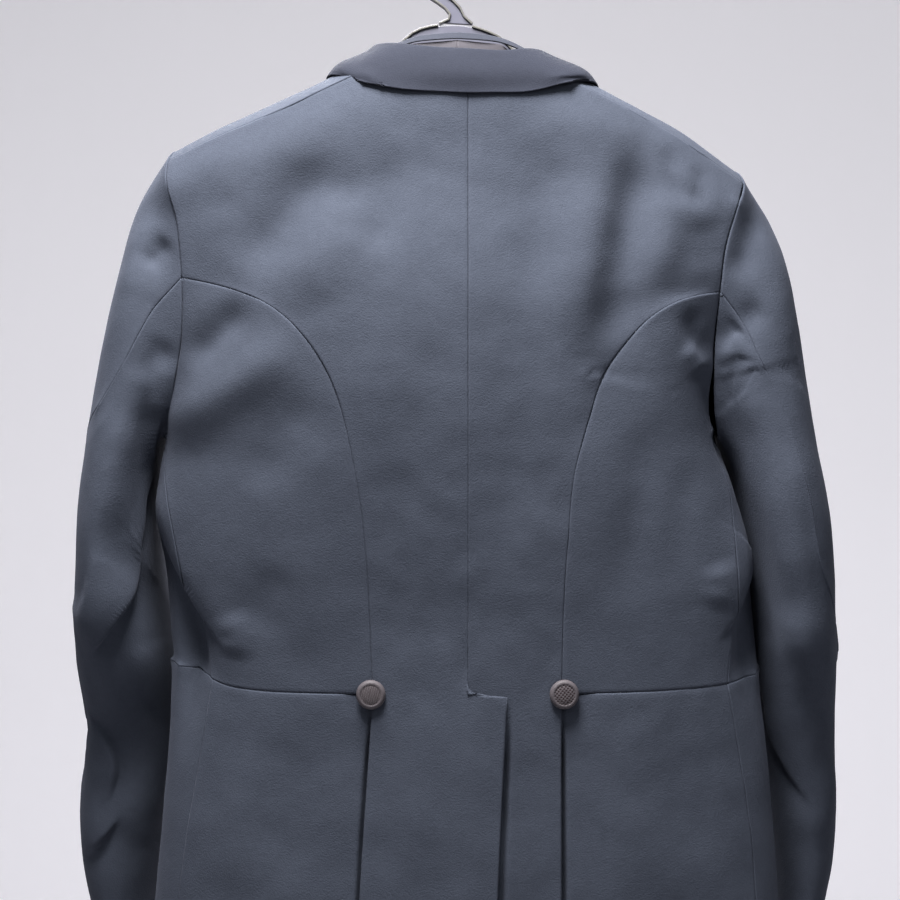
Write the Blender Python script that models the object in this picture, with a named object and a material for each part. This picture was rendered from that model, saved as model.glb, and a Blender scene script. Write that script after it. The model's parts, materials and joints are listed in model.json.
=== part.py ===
"""Morning coat and waistcoat on a moulded hanger, hanging from its hook.

Metres, +Z up. The origin is the inside top of the hook, where a rail holds it.
The fronts face -Y, the backs face +Y and the wearer's left is at +X.

Each cloth piece is a thin wall on one of three surfaces: the coat's body, a sleeve
or the waistcoat's body. A place on a body is given by its angle round the ring
(90 is the centre back, 0 the side, -90 the centre front) and its height. Near the
shoulder the height runs on as a length over the shoulder's round.
"""

import math

import bmesh
import bpy
import numpy as np
from mathutils import Matrix, Vector

COLLECTION_NAME = "morning_suit"

# Cloth walls and the gap left at every seam
COAT_WALL = 0.0020
WAISTCOAT_WALL = 0.0014
SEAM_GAP = 0.0004
SLEEVE_GAP = 0.0006
LAY_GAP = 0.0004

# Coat: heights below the hook
WAIST = -0.587
HEM = -1.140
NAPE = -0.1335
CENTRE_BACK_X = -0.0095
RING_POWER = 2.6
SHOULDER_ROUND = 0.040
RIDGE_Y = -0.004

# Buttons
BACK_BUTTON_DIAMETER = 0.0216
BACK_BUTTON_GAP = 0.0006
FRONT_BUTTON_DIAMETER = 0.0200
WAISTCOAT_BUTTON_DIAMETER = 0.0130
BUTTON_STEPS = 20
FRONT_BUTTON_HEIGHT = -0.548

LEFT = 1
RIGHT = -1
SIDE_NAMES = {LEFT: "left", RIGHT: "right"}


class Curve:
    """Smooth curve through table rows that never swings past a row's value."""

    def __init__(self, stations, values):
        order = np.argsort(stations)
        self.at = np.asarray(stations, float)[order]
        self.value = np.asarray(values, float)[order]
        step = np.diff(self.at)
        rise = np.diff(self.value) / step
        slope = np.zeros(len(self.at))
        slope[0], slope[-1] = rise[0], rise[-1]
        same_way = rise[:-1] * rise[1:] > 0
        mean = 2 * rise[:-1] * rise[1:] / np.where(same_way, rise[:-1] + rise[1:], 1)
        slope[1:-1] = np.where(same_way, mean, 0)
        self.slope = slope

    def __call__(self, at):
        at = np.clip(at, self.at[0], self.at[-1])
        index = np.clip(np.searchsorted(self.at, at) - 1, 0, len(self.at) - 2)
        step = self.at[index + 1] - self.at[index]
        s = (at - self.at[index]) / step
        start = self.value[index] * (1 + 2 * s) + self.slope[index] * step * s
        end = self.value[index + 1] * (3 - 2 * s) - self.slope[index + 1] * step * (1 - s)
        return start * (1 - s) ** 2 + end * s ** 2


def table(columns, rows):
    """Turn rows with named columns into a dictionary of columns."""
    return {name: np.array([row[i] for row in rows]) for i, name in enumerate(columns)}


def curves(columns, rows):
    """Smooth curves of every later column over the first one."""
    data = table(columns, rows)
    return {name: Curve(data[columns[0]], data[name]) for name in columns[1:]}


# Coat body: half widths to the wearer's left and right, depths to back and front
COAT_RING = curves(
    ("height", "left", "right", "back", "front"),
    (
        (-1.140, 0.2400, 0.2560, 0.086, 0.084),
        (-0.900, 0.2420, 0.2560, 0.085, 0.084),
        (-0.760, 0.2360, 0.2530, 0.081, 0.084),
        (-0.700, 0.2295, 0.2495, 0.078, 0.082),
        (-0.650, 0.2250, 0.2440, 0.075, 0.080),
        (-0.587, 0.2225, 0.2400, 0.073, 0.079),
        (-0.540, 0.2260, 0.2385, 0.074, 0.081),
        (-0.490, 0.2330, 0.2335, 0.077, 0.085),
        (-0.460, 0.2360, 0.2240, 0.079, 0.088),
        (-0.430, 0.2315, 0.2150, 0.081, 0.090),
        (-0.410, 0.2280, 0.2080, 0.082, 0.091),
        (-0.390, 0.2260, 0.2050, 0.083, 0.092),
        (-0.330, 0.2280, 0.2100, 0.083, 0.091),
        (-0.280, 0.2360, 0.2260, 0.080, 0.086),
        (-0.200, 0.2620, 0.2620, 0.064, 0.068),
    ),
)

# Height of the shoulder line from the right shoulder to the left one
SHOULDER_LINE = Curve(
    (-0.262, -0.228, -0.207, -0.171, -0.108, -0.075, 0.0, 0.065, 0.0975, 0.184, 0.230, 0.262),
    (-0.219, -0.194, -0.179, -0.1545, -0.1215, -0.104, -0.098, -0.100, -0.115, -0.1545, -0.177, -0.193),
)

# Folds where the upper body bulges over the waist: ring angle and depth by height
WAIST_TUCK = {
    LEFT: curves(
        ("height", "angle", "depth"),
        (
            (-0.610, 30.0, 0.000),
            (-0.587, 29.0, 0.006),
            (-0.570, 27.0, 0.019),
            (-0.545, 24.0, 0.026),
            (-0.510, 19.0, 0.018),
            (-0.450, 10.0, 0.000),
        ),
    ),
    RIGHT: curves(
        ("height", "angle", "depth"),
        (
            (-0.615, 22.0, 0.000),
            (-0.587, 22.0, 0.004),
            (-0.565, 20.0, 0.013),
            (-0.545, 17.0, 0.015),
            (-0.515, 12.0, 0.008),
            (-0.480, 8.0, 0.000),
        ),
    ),
}
TUCK_SPREAD = 9.0

# Long soft hollows in the back: upper end, lower end, half width and depth
BACK_HOLLOWS = table(
    ("top_x", "top_z", "foot_x", "foot_z", "spread", "depth"),
    (
        (-0.146, -0.165, -0.108, -0.400, 0.022, 0.0060),
        (0.085, -0.215, 0.190, -0.300, 0.020, 0.0035),
    ),
)

# Seams: x on the left, height on the left, x on the right, height on the right
SEAM_COLUMNS = ("left_x", "left_z", "right_x", "right_z")
CURVED_SEAM = (
    (0.2066, -0.2758, -0.2001, -0.2864),
    (0.1742, -0.2839, -0.1743, -0.2921),
    (0.1388, -0.2981, -0.1504, -0.3041),
    (0.1096, -0.3251, -0.1271, -0.3281),
    (0.0899, -0.3580, -0.1084, -0.3580),
    (0.0807, -0.3910, -0.0979, -0.3910),
    (0.0730, -0.4290, -0.0880, -0.4253),
    (0.0671, -0.4728, -0.0838, -0.4710),
    (0.0641, -0.5173, -0.0806, -0.5150),
    (0.0611, -0.5870, -0.0788, -0.5870),
)
UNDERARM_SEAM = (
    (0.2225, -0.3980, -0.2035, -0.3980),
    (0.2240, -0.4137, -0.2050, -0.4120),
    (0.2200, -0.4408, -0.2110, -0.4400),
    (0.2153, -0.4617, -0.2125, -0.4700),
    (0.2060, -0.5000, -0.2130, -0.5000),
    (0.1960, -0.5450, -0.2120, -0.5400),
    (0.1850, -0.5820, -0.2070, -0.5830),
)
SHOULDER_SEAM = (
    (0.2206, -0.1840, -0.2210, -0.2017),
    (0.2006, -0.1748, -0.1980, -0.1863),
    (0.1607, -0.1602, -0.1573, -0.1602),
    (0.0962, -0.1311, -0.1051, -0.1349),
    (0.0760, -0.1225, -0.0870, -0.1270),
)
NECKLINE = (
    (0.0760, -0.1225, -0.0870, -0.1270),
    (0.0560, -0.1280, -0.0700, -0.1305),
    (0.0300, -0.1320, -0.0450, -0.1330),
    (-0.0095, -0.1335, -0.0095, -0.1335),
)
TAIL_EDGE = (
    (0.0611, -0.5870, -0.0788, -0.5870),
    (0.0610, -0.6220, -0.0785, -0.6220),
    (0.0662, -0.6680, -0.0785, -0.6680),
    (0.0706, -0.7360, -0.0781, -0.7360),
    (0.0760, -0.9000, -0.0790, -0.9000),
    (0.0800, -1.1400, -0.0800, -1.1400),
)

# Waist seam height by ring angle
WAIST_SEAM = curves(
    ("angle", "left", "right"),
    (
        (-95.0, -0.562, -0.566),
        (-30.0, -0.565, -0.572),
        (0.0, -0.569, -0.577),
        (25.0, -0.574, -0.581),
        (38.0, -0.581, -0.5835),
        (60.0, -0.5865, -0.5862),
        (80.0, -0.587, -0.587),
    ),
)

# The left tail laps over the right one below the waist
VENT_EDGE = Curve((-1.140, -0.740, -0.650, -0.589), (-0.0250, -0.0308, -0.0352, -0.0382))
VENT_LIFT = 0.0030
VENT_EASE_START = 0.010
VENT_STEP = 0.0018
VENT_EASE = 0.014
PLEAT_DROP = 0.0031

# Armhole from the shoulder point over the back, the underarm and the front
ARMHOLE_BACK = (
    (12.0, 0.2206, -0.1840, -0.2210, -0.2017),
    (50.0, 0.2150, -0.2179, -0.2110, -0.2310),
    (82.0, 0.2096, -0.2438, -0.2040, -0.2570),
    (106.0, 0.2066, -0.2758, -0.2001, -0.2864),
    (118.0, 0.2066, -0.3154, -0.1978, -0.3154),
    (131.0, 0.2135, -0.3565, -0.1973, -0.3520),
    (140.0, 0.2190, -0.3790, -0.1985, -0.3770),
    (150.0, 0.2225, -0.3980, -0.2035, -0.3980),
)
ARMHOLE_FRONT = table(
    ("sleeve_angle", "left_angle", "left_z", "right_angle", "right_z"),
    (
        (166.0, -2.0, -0.3925, -2.0, -0.3925),
        (196.0, -22.0, -0.3740, -20.0, -0.3760),
        (222.0, -34.0, -0.3320, -31.0, -0.3350),
        (250.0, -38.0, -0.2850, -35.5, -0.2900),
        (285.0, -36.5, -0.2360, -36.0, -0.2450),
        (320.0, -34.0, -0.2030, -34.0, -0.2170),
    ),
)
RIDGE_ANGLE = 352.0
SHOULDER_ANGLE = 12.0
NOTCH_ANGLE = 106.0
UNDERARM_ANGLE = 150.0
FULL_TURN = 360.0

# Sleeve section by height: outer and inner side, back and front
SLEEVE_COLUMNS = ("height", "outer", "inner", "back", "front")
SLEEVE_RING = {
    LEFT: curves(
        SLEEVE_COLUMNS,
        (
            (-0.795, 0.2960, 0.2440, -0.020, -0.142),
            (-0.773, 0.2985, 0.2420, -0.017, -0.139),
            (-0.736, 0.3075, 0.2395, -0.011, -0.133),
            (-0.704, 0.3080, 0.2365, -0.004, -0.127),
            (-0.661, 0.3035, 0.2325, 0.003, -0.119),
            (-0.622, 0.2960, 0.2310, 0.012, -0.112),
            (-0.586, 0.3050, 0.2310, 0.030, -0.106),
            (-0.555, 0.3020, 0.2335, 0.044, -0.103),
            (-0.520, 0.2990, 0.2380, 0.052, -0.100),
            (-0.484, 0.2975, 0.2410, 0.055, -0.098),
            (-0.455, 0.2958, 0.2395, 0.056, -0.096),
            (-0.430, 0.2925, 0.2370, 0.056, -0.094),
            (-0.410, 0.2905, 0.2340, 0.056, -0.093),
            (-0.390, 0.2877, 0.2310, 0.055, -0.091),
            (-0.344, 0.2807, 0.2110, 0.052, -0.084),
            (-0.305, 0.2728, 0.2060, 0.049, -0.076),
            (-0.268, 0.2642, 0.2060, 0.045, -0.069),
            (-0.2355, 0.2563, 0.2055, 0.041, -0.061),
            (-0.1985, 0.2445, 0.2050, 0.036, -0.050),
            (-0.175, 0.2280, 0.2050, 0.030, -0.040),
        ),
    ),
    RIGHT: curves(
        SLEEVE_COLUMNS,
        (
            (-0.795, 0.2960, 0.2570, -0.010, -0.130),
            (-0.773, 0.2992, 0.2565, -0.008, -0.128),
            (-0.728, 0.3100, 0.2550, -0.004, -0.122),
            (-0.684, 0.3100, 0.2525, 0.000, -0.117),
            (-0.647, 0.3083, 0.2475, 0.006, -0.112),
            (-0.616, 0.3051, 0.2450, 0.016, -0.108),
            (-0.586, 0.3060, 0.2445, 0.030, -0.104),
            (-0.550, 0.3010, 0.2440, 0.043, -0.101),
            (-0.500, 0.2986, 0.2390, 0.052, -0.098),
            (-0.474, 0.2970, 0.2330, 0.055, -0.096),
            (-0.440, 0.2920, 0.2240, 0.056, -0.094),
            (-0.410, 0.2865, 0.2140, 0.056, -0.093),
            (-0.390, 0.2815, 0.2100, 0.055, -0.091),
            (-0.341, 0.2750, 0.1985, 0.052, -0.084),
            (-0.302, 0.2687, 0.1980, 0.049, -0.076),
            (-0.273, 0.2632, 0.2000, 0.045, -0.069),
            (-0.250, 0.2570, 0.2020, 0.041, -0.061),
            (-0.212, 0.2404, 0.2050, 0.036, -0.050),
            (-0.190, 0.2290, 0.2050, 0.030, -0.040),
        ),
    ),
}
SLEEVE_POWER = 2.2
SLEEVE_START = 0.0006
SLEEVE_HEAD = 0.08
CUFF = {LEFT: -0.792, RIGHT: -0.790}

# Sleeve seams: sleeve angle by the share of the sleeve's length
HIND_SEAM = {
    LEFT: Curve(
        (0.0, 0.017, 0.051, 0.105, 0.147, 0.198, 0.240, 0.290, 0.334, 0.370, 0.450, 1.0),
        (106.0, 107.0, 104.5, 95.0, 88.0, 77.8, 67.0, 46.0, 24.0, 12.0, 7.0, 7.0),
    ),
    RIGHT: Curve(
        (0.0, 0.017, 0.050, 0.114, 0.177, 0.224, 0.287, 0.349, 0.427, 0.479, 0.530, 0.612, 1.0),
        (106.0, 108.5, 108.0, 99.0, 88.6, 82.0, 77.0, 76.0, 76.0, 65.0, 48.0, 20.0, 10.0),
    ),
}
FRONT_SEAM_START = 214.0
FRONT_SEAM = Curve((0.0, 0.3, 1.0), (FRONT_SEAM_START, 226.0, 226.0))

# Fold behind each elbow: from the inner side to the outer side of the sleeve
ELBOW_FOLD = {
    LEFT: {"inner_z": -0.500, "outer_z": -0.590, "depth": 0.012, "spread": 0.016},
    RIGHT: {"inner_z": -0.590, "outer_z": -0.640, "depth": 0.008, "spread": 0.018},
}

# Front edge of the skirts, sweeping back to the knee: ring angle by height
CUTAWAY = Curve(
    (-1.140, -1.100, -1.020, -0.960, -0.840, -0.740, -0.660, -0.600, -0.562),
    (50.0, 40.0, 24.5, 11.0, -16.0, -38.0, -60.0, -79.0, -92.0),
)
SKIRT_SEAM = Curve((-1.020, -0.850, -0.740, -0.680, -0.583), (28.0, 28.5, 30.0, 32.0, 38.0))
SKIRT_TIP = -1.020
WAIST_FRONT_ANGLE = -92.0
PLEAT_LAP = 0.010

# Front edge and roll line of the foreparts: x towards the wearer's own side, height
FRONT_LIFT = 0.0034
ROLL_LINE = Curve(
    (-0.562, -0.535, -0.480, -0.400, -0.300, -0.200, -0.172, -0.150, -0.120, -0.095, -0.070, -0.040),
    (-0.018, -0.010, 0.006, 0.022, 0.037, 0.050, 0.0545, 0.061, 0.070, 0.0775, 0.079, 0.076),
)
FRONT_EDGE_HEIGHTS = (-0.430, -0.385, -0.340, -0.290, -0.240, -0.195, -0.150, -0.116)
BREAK_HEIGHT = {LEFT: -0.530, RIGHT: -0.484}
GORGE_HEIGHT = -0.1715
LAPEL_EDGE = Curve(
    (-0.540, -0.500, -0.460, -0.400, -0.300, -0.240, -0.188),
    (-0.012, 0.022, 0.050, 0.080, 0.116, 0.132, 0.135),
)
LAPEL_TOP = table(
    ("share", "reach", "height"),
    (
        (0.00, 0.0545, -0.1715),
        (0.30, 0.0705, -0.1880),
        (0.55, 0.0915, -0.2060),
        (0.75, 0.1130, -0.1990),
        (1.00, 0.1350, -0.1880),
    ),
)
LAPEL_LIFT = 0.0012
LAPEL_GAP = 0.0016

# Collar stations from the centre back round to the gorge: fold line and outer edge
COLLAR_COLUMNS = ("share", "fold_x", "fold_y", "fold_z", "edge_x", "edge_z")
COLLAR = {
    LEFT: curves(
        COLLAR_COLUMNS,
        (
            (0.00, -0.0095, 0.0495, -0.1045, -0.0095, -0.1397),
            (0.16, 0.0180, 0.0480, -0.1030, 0.0260, -0.1380),
            (0.32, 0.0450, 0.0390, -0.0980, 0.0600, -0.1330),
            (0.46, 0.0610, 0.0210, -0.0945, 0.0900, -0.1215),
            (0.60, 0.0660, -0.0040, -0.0940, 0.1010, -0.1168),
            (0.74, 0.0715, -0.0360, -0.1010, 0.1060, -0.1330),
            (0.88, 0.0665, -0.0665, -0.1270, 0.1020, -0.1650),
            (1.00, 0.0565, -0.0790, -0.1630, 0.0915, -0.2030),
        ),
    ),
    RIGHT: curves(
        COLLAR_COLUMNS,
        (
            (0.00, -0.0095, 0.0495, -0.1045, -0.0095, -0.1397),
            (0.16, -0.0350, 0.0480, -0.1050, -0.0430, -0.1385),
            (0.32, -0.0560, 0.0390, -0.1020, -0.0760, -0.1335),
            (0.46, -0.0690, 0.0210, -0.1005, -0.1020, -0.1260),
            (0.60, -0.0740, -0.0040, -0.1015, -0.1120, -0.1235),
            (0.74, -0.0780, -0.0350, -0.1080, -0.1130, -0.1380),
            (0.88, -0.0750, -0.0620, -0.1290, -0.1050, -0.1680),
            (1.00, -0.0600, -0.0790, -0.1630, -0.0915, -0.2030),
        ),
    ),
}
COLLAR_END = -0.163
COLLAR_FOLD_RADIUS = 0.0024
COLLAR_NECK_SHARE = 0.46
COLLAR_RIDGE_SHARE = 0.60
COLLAR_EDGE_LIFT = 0.0036
COLLAR_FALL_LIFT = 0.0062
COLLAR_ROLL_OUT = 0.0040
COLLAR_FOOT_INSET = Curve((0.0, 0.46, 0.60, 1.0), (0.0010, 0.0012, 0.0026, 0.0032))
COLLAR_FOOT_RISE = 0.07
NECK_CENTRE = (-0.005, -0.012)

# Waistcoat body: half width, depths to back and front
WAISTCOAT_RING = curves(
    ("height", "half", "back", "front"),
    (
        (-0.660, 0.184, 0.062, 0.066),
        (-0.587, 0.180, 0.060, 0.064),
        (-0.480, 0.188, 0.064, 0.070),
        (-0.380, 0.192, 0.068, 0.075),
        (-0.280, 0.194, 0.060, 0.066),
        (-0.180, 0.196, 0.044, 0.046),
        (-0.100, 0.196, 0.034, 0.034),
    ),
)
WAISTCOAT_DROP = 0.0062
WAISTCOAT_NECK_RISE = Curve(
    (-0.260, -0.080, -0.066, -0.050, 0.0, 0.050, 0.066, 0.080, 0.260),
    (-0.300, -0.140, -0.108, -0.086, -0.068, -0.086, -0.108, -0.140, -0.300),
)
WAISTCOAT_HEM = -0.620
WAISTCOAT_UNDERARM = -0.385
WAISTCOAT_CENTRE_X = -0.0015
WAISTCOAT_NECK = Curve((0.0, 0.030, 0.050, 0.066), (-0.0915, -0.0930, -0.0990, -0.1080))
WAISTCOAT_ARMHOLE = Curve((0.0, 0.35, 0.65, 0.88, 1.0), (0.1550, 0.1480, 0.1560, 0.1800, 0.1900))
WAISTCOAT_FRONT = Curve((-0.665, -0.360, -0.200, -0.120, -0.080), (-0.012, -0.012, 0.034, 0.058, 0.066))
WAISTCOAT_FOOT = Curve((-0.012, 0.040, 0.184), (-0.640, -0.665, -0.620))
WAISTCOAT_LAP = 0.0026
NECKBAND_WIDTH = 0.0062
NECKBAND_REACH = 0.054
NECKBAND_WALL = 0.0022
NECKBAND_LIFT = 0.0015
WAISTCOAT_BUTTON_HEIGHTS = (-0.385, -0.440, -0.495, -0.550)

# Hanger: top line of the arch, then arms that carry the shoulders
HANGER_ARCH = Curve(
    (-0.068, -0.060, -0.052, -0.044, -0.033, 0.0, 0.029, 0.043, 0.052, 0.060, 0.068),
    (-0.1165, -0.1110, -0.1010, -0.0905, -0.0805, -0.0715, -0.0755, -0.0875, -0.0985, -0.1095, -0.1145),
)
HANGER_REST = Curve((0.0, 0.150, 0.174, 0.210), (0.0112, 0.0112, 0.0052, 0.0052))
HANGER_ARCH_END = 0.068
HANGER_TIP = 0.200
HANGER_WIDTH = 0.010
HANGER_WEB = 0.0036
HANGER_RIM = 0.0034
HANGER_DEPTH = Curve((0.0, 0.08, 0.200), (0.024, 0.020, 0.012))
HANGER_STATIONS = 33
HOOK_RADIUS = 0.025
HOOK_ROD = 0.0038
HOOK_STEM = ((0.0005, -0.0800), (0.0010, -0.0720), (-0.0012, -0.0640), (0.0035, -0.0570))
HOOK_TURN = (-58.0, 205.0)
HOOK_POINTS = 20

# Rows of each panel's grid; panels that share a seam share its rows
WAIST_ROWS = 12
ARMHOLE_ROWS = 4
TAIL_ROWS = 11
SKIRT_ROWS = 8
LAPEL_ROWS = 12
RIDGE_ROW = 8
WAIST_SHARES = np.linspace(1, 0, WAIST_ROWS + 1)
ARMHOLE_TOP = np.linspace(NOTCH_ANGLE, SHOULDER_ANGLE, ARMHOLE_ROWS + 1)
ARMHOLE_LOW = np.linspace(NOTCH_ANGLE, UNDERARM_ANGLE, 7)
ARMHOLE_FAR = np.array([150.0, 168.0, 188.0, 214.0, 245.0, 278.0, 304.0, 328.0, 352.0, 362.0, 372.0])
SLEEVE_SHARES = np.concatenate(
    [[0, 0.02, 0.05, 0.09, 0.14], np.linspace(0.20, 0.74, 10), [0.82, 0.91, 1.0]]
)

# Columns of each panel's grid, as shares of the way from one side edge to the other
NECK_COLUMN = 2
SHOULDER_SHARES = np.array([1.0, 0.78, 0.55, 0.28, 0.0])
BACK_COLUMNS = np.concatenate([[0.0, 0.12], 1 - 0.73 * SHOULDER_SHARES])
SIDEBODY_COLUMNS = np.linspace(0, 1, len(ARMHOLE_LOW))
FOREPART_COLUMNS = np.array([0.0, 0.05, 0.10, 0.17, 0.28, 0.41, 0.55, 0.78, 0.90, 1.0])
FRONT_SEAM_COLUMN = 3
COLLAR_SHARES = np.concatenate([np.linspace(0, 0.36, 5), np.linspace(0.44, 1.0, 8)])
WAISTCOAT_NECK_COLUMN = 2
WAISTCOAT_COLUMNS = np.array([0.0, 0.20, 0.38, 0.54, 0.70, 0.85, 1.0])
WAISTCOAT_LOW_ROWS = 4
WAISTCOAT_ARMHOLE_SHARES = np.array([1.0, 0.82, 0.65, 0.48, 0.32, 0.19, 0.09, 0.0])
NECKBAND_COLUMNS = 15

# Finishes
WOOL = {"colour": (0.020, 0.022, 0.030), "roughness": 0.85, "sheen": 0.4}
SATIN = {"colour": (0.150, 0.145, 0.190), "roughness": 0.45, "sheen": 0.1}
BUTTON_CLOTH = {"colour": (0.060, 0.050, 0.055), "roughness": 0.70, "sheen": 0.2}
PLASTIC = {"colour": (0.280, 0.265, 0.330), "roughness": 0.40, "sheen": 0.0}


def power_cos(angle, power):
    """Cosine squared up towards a box, so that a ring's corners are fuller."""
    value = np.cos(angle)
    return np.sign(value) * np.abs(value) ** (2 / power)


def power_sin(angle, power):
    """Sine that goes with power_cos."""
    value = np.sin(angle)
    return np.sign(value) * np.abs(value) ** (2 / power)


def smooth_step(share):
    """Ease from 0 to 1."""
    share = np.clip(share, 0, 1)
    return share * share * (3 - 2 * share)


def over_shoulder(x, ring_y, back_y, height, line):
    """Round the top of a body over the shoulder line, as height runs on as a length."""
    start = line - SHOULDER_ROUND
    turn = np.clip((height - start) / SHOULDER_ROUND, 0, math.pi)
    z = np.where(turn > 0, start + SHOULDER_ROUND * np.sin(turn), height)
    past_top = (turn > math.pi / 2) & (ring_y < RIDGE_Y)
    depth = np.where(past_top, -(back_y - RIDGE_Y), ring_y - RIDGE_Y)
    return np.stack([x, RIDGE_Y + depth * np.cos(turn), z], -1)


def coat_half(side, height):
    """Half width of the coat on one side."""
    return COAT_RING[SIDE_NAMES[side]](np.minimum(height, -0.2))


def coat_surface(side, angle, height):
    """Point of the coat's body at a ring angle in degrees and a height."""
    height = np.asarray(height, float)
    turn = np.radians(np.asarray(angle, float))
    half = coat_half(side, height)
    across, along = power_cos(turn, RING_POWER), power_sin(turn, RING_POWER)
    back, front = COAT_RING["back"](height), COAT_RING["front"](height)
    x = side * half * across
    y = np.where(along >= 0, back, front) * along
    # The waist tuck and the back's hollows press the ring inwards
    out_x = side * np.sign(across) * np.abs(across) ** (RING_POWER - 1) / half
    out_y = np.sign(along) * np.abs(along) ** (RING_POWER - 1) / np.where(along >= 0, back, front)
    length = np.hypot(out_x, out_y)
    tuck = WAIST_TUCK[side]
    away = (np.degrees(turn) - tuck["angle"](height)) / TUCK_SPREAD
    press = tuck["depth"](height) * np.exp(-away * away)
    press = press + back_hollows(x, height) * (along > 0)
    x = x - press * out_x / length
    y = y - press * out_y / length
    return over_shoulder(x, y, back * np.abs(along), height, SHOULDER_LINE(x))


def back_hollows(x, z):
    """Depth of the long soft hollows at a place on the back."""
    total = 0.0
    for top_x, top_z, foot_x, foot_z, spread, depth in zip(*BACK_HOLLOWS.values()):
        run_x, run_z = foot_x - top_x, foot_z - top_z
        length = math.hypot(run_x, run_z)
        along = ((x - top_x) * run_x + (z - top_z) * run_z) / length ** 2
        beside = ((x - top_x) * run_z - (z - top_z) * run_x) / length
        ends = smooth_step(along * 4 + 0.5) * smooth_step((1 - along) * 4 + 0.5)
        total = total + depth * ends * np.exp(-((beside / spread) ** 2))
    return total


def waistcoat_surface(side, angle, height):
    """Point of the waistcoat's body at a ring angle in degrees and a height."""
    height = np.asarray(height, float)
    turn = np.radians(np.asarray(angle, float))
    across, along = power_cos(turn, RING_POWER), power_sin(turn, RING_POWER)
    ring_height = np.minimum(height, -0.1)
    back, front = WAISTCOAT_RING["back"](ring_height), WAISTCOAT_RING["front"](ring_height)
    x = side * WAISTCOAT_RING["half"](ring_height) * across
    y = np.where(along >= 0, back, front) * along
    return over_shoulder(x, y, back * np.abs(along), height, waistcoat_line(x))


def waistcoat_line(x):
    """Height of the waistcoat's shoulder line, which rises behind the neck."""
    return np.maximum(SHOULDER_LINE(x) - WAISTCOAT_DROP, WAISTCOAT_NECK_RISE(x))


def waistcoat_half(side, height):
    """Half width of the waistcoat, the same on both sides."""
    return WAISTCOAT_RING["half"](np.minimum(height, -0.1))


def ring_angle(side, x, height, half, front=False):
    """Ring angle, in degrees, of the place at x on the back or the front."""
    share = np.clip(side * np.asarray(x, float) / half(side, height), -1, 1)
    angle = np.degrees(np.arccos(np.sign(share) * np.abs(share) ** (RING_POWER / 2)))
    return -angle if front else angle


def shoulder_height(x, z, line, front):
    """Height as a length over the shoulder's round, of a place at x and true height z."""
    start = line(x) - SHOULDER_ROUND
    turn = np.arcsin(np.clip((z - start) / SHOULDER_ROUND, -1, 1))
    over = start + SHOULDER_ROUND * (math.pi - turn if front else turn)
    return np.where(z > start, over, over if front else z)


def seam(rows, side):
    """Curves of x and true height along a seam, by the share of its length."""
    data = table(SEAM_COLUMNS, rows)
    x, z = data[f"{SIDE_NAMES[side]}_x"], data[f"{SIDE_NAMES[side]}_z"]
    run = np.concatenate([[0], np.cumsum(np.hypot(np.diff(x), np.diff(z)))])
    return Curve(run / run[-1], x), Curve(run / run[-1], z)


def seam_places(rows, side, shares):
    """Ring angle and height of places along a seam on the coat's back."""
    curve_x, curve_z = seam(rows, side)
    x, z = curve_x(shares), curve_z(shares)
    return x, ring_angle(side, x, z, coat_half), shoulder_height(x, z, SHOULDER_LINE, False)


def shoulder_seam_front(side, shares):
    """The shoulder seam again, reached from the front over the shoulder line."""
    curve_x, curve_z = seam(SHOULDER_SEAM, side)
    x, z = curve_x(shares), curve_z(shares)
    height = shoulder_height(x, z, SHOULDER_LINE, True)
    return ring_angle(side, x, np.full_like(x, -0.2), coat_half, front=True), height


def ridge_height(x, line):
    """Height, as a length, of the top of the shoulder at x."""
    return line(x) - SHOULDER_ROUND + SHOULDER_ROUND * math.pi / 2


def armhole(side, angles):
    """Ring angle and height of the armhole at the given sleeve angles."""
    angles = np.asarray(angles, float)
    back_angle, back_height = ARMHOLES[side]["back"]
    front_angle, front_height = ARMHOLES[side]["front"]
    on_back = angles <= UNDERARM_ANGLE
    place_angle = np.where(on_back, back_angle(angles), front_angle(angles))
    place_height = np.where(on_back, back_height(angles), front_height(angles))
    return place_angle, place_height


def armhole_curves(side):
    """Curves of ring angle and height along the armhole's back and front."""
    name = SIDE_NAMES[side]
    data = table(("sleeve_angle",) + SEAM_COLUMNS, ARMHOLE_BACK)
    x, z = data[f"{name}_x"], data[f"{name}_z"]
    back_angle = ring_angle(side, x, z, coat_half)
    back_height = shoulder_height(x, z, SHOULDER_LINE, False)
    seam_angle, seam_height = shoulder_seam_front(side, np.array([0.0]))
    ridge_x = 0.985 * x[0]
    ridge_at = ring_angle(side, ridge_x, -0.2, coat_half, front=True)
    stations = np.concatenate(
        [[UNDERARM_ANGLE], ARMHOLE_FRONT["sleeve_angle"], [RIDGE_ANGLE, FULL_TURN + SHOULDER_ANGLE]]
    )
    front_angle = np.concatenate(
        [[back_angle[-1]], ARMHOLE_FRONT[f"{name}_angle"], [ridge_at, seam_angle[0]]]
    )
    front_height = np.concatenate(
        [[z[-1]], ARMHOLE_FRONT[f"{name}_z"], [ridge_height(ridge_x, SHOULDER_LINE), seam_height[0]]]
    )
    back = Curve(data["sleeve_angle"], back_angle), Curve(data["sleeve_angle"], back_height)
    front = Curve(stations, front_angle), Curve(stations, front_height)
    return {"back": back, "front": front}


ARMHOLES = {side: armhole_curves(side) for side in (LEFT, RIGHT)}


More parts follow.
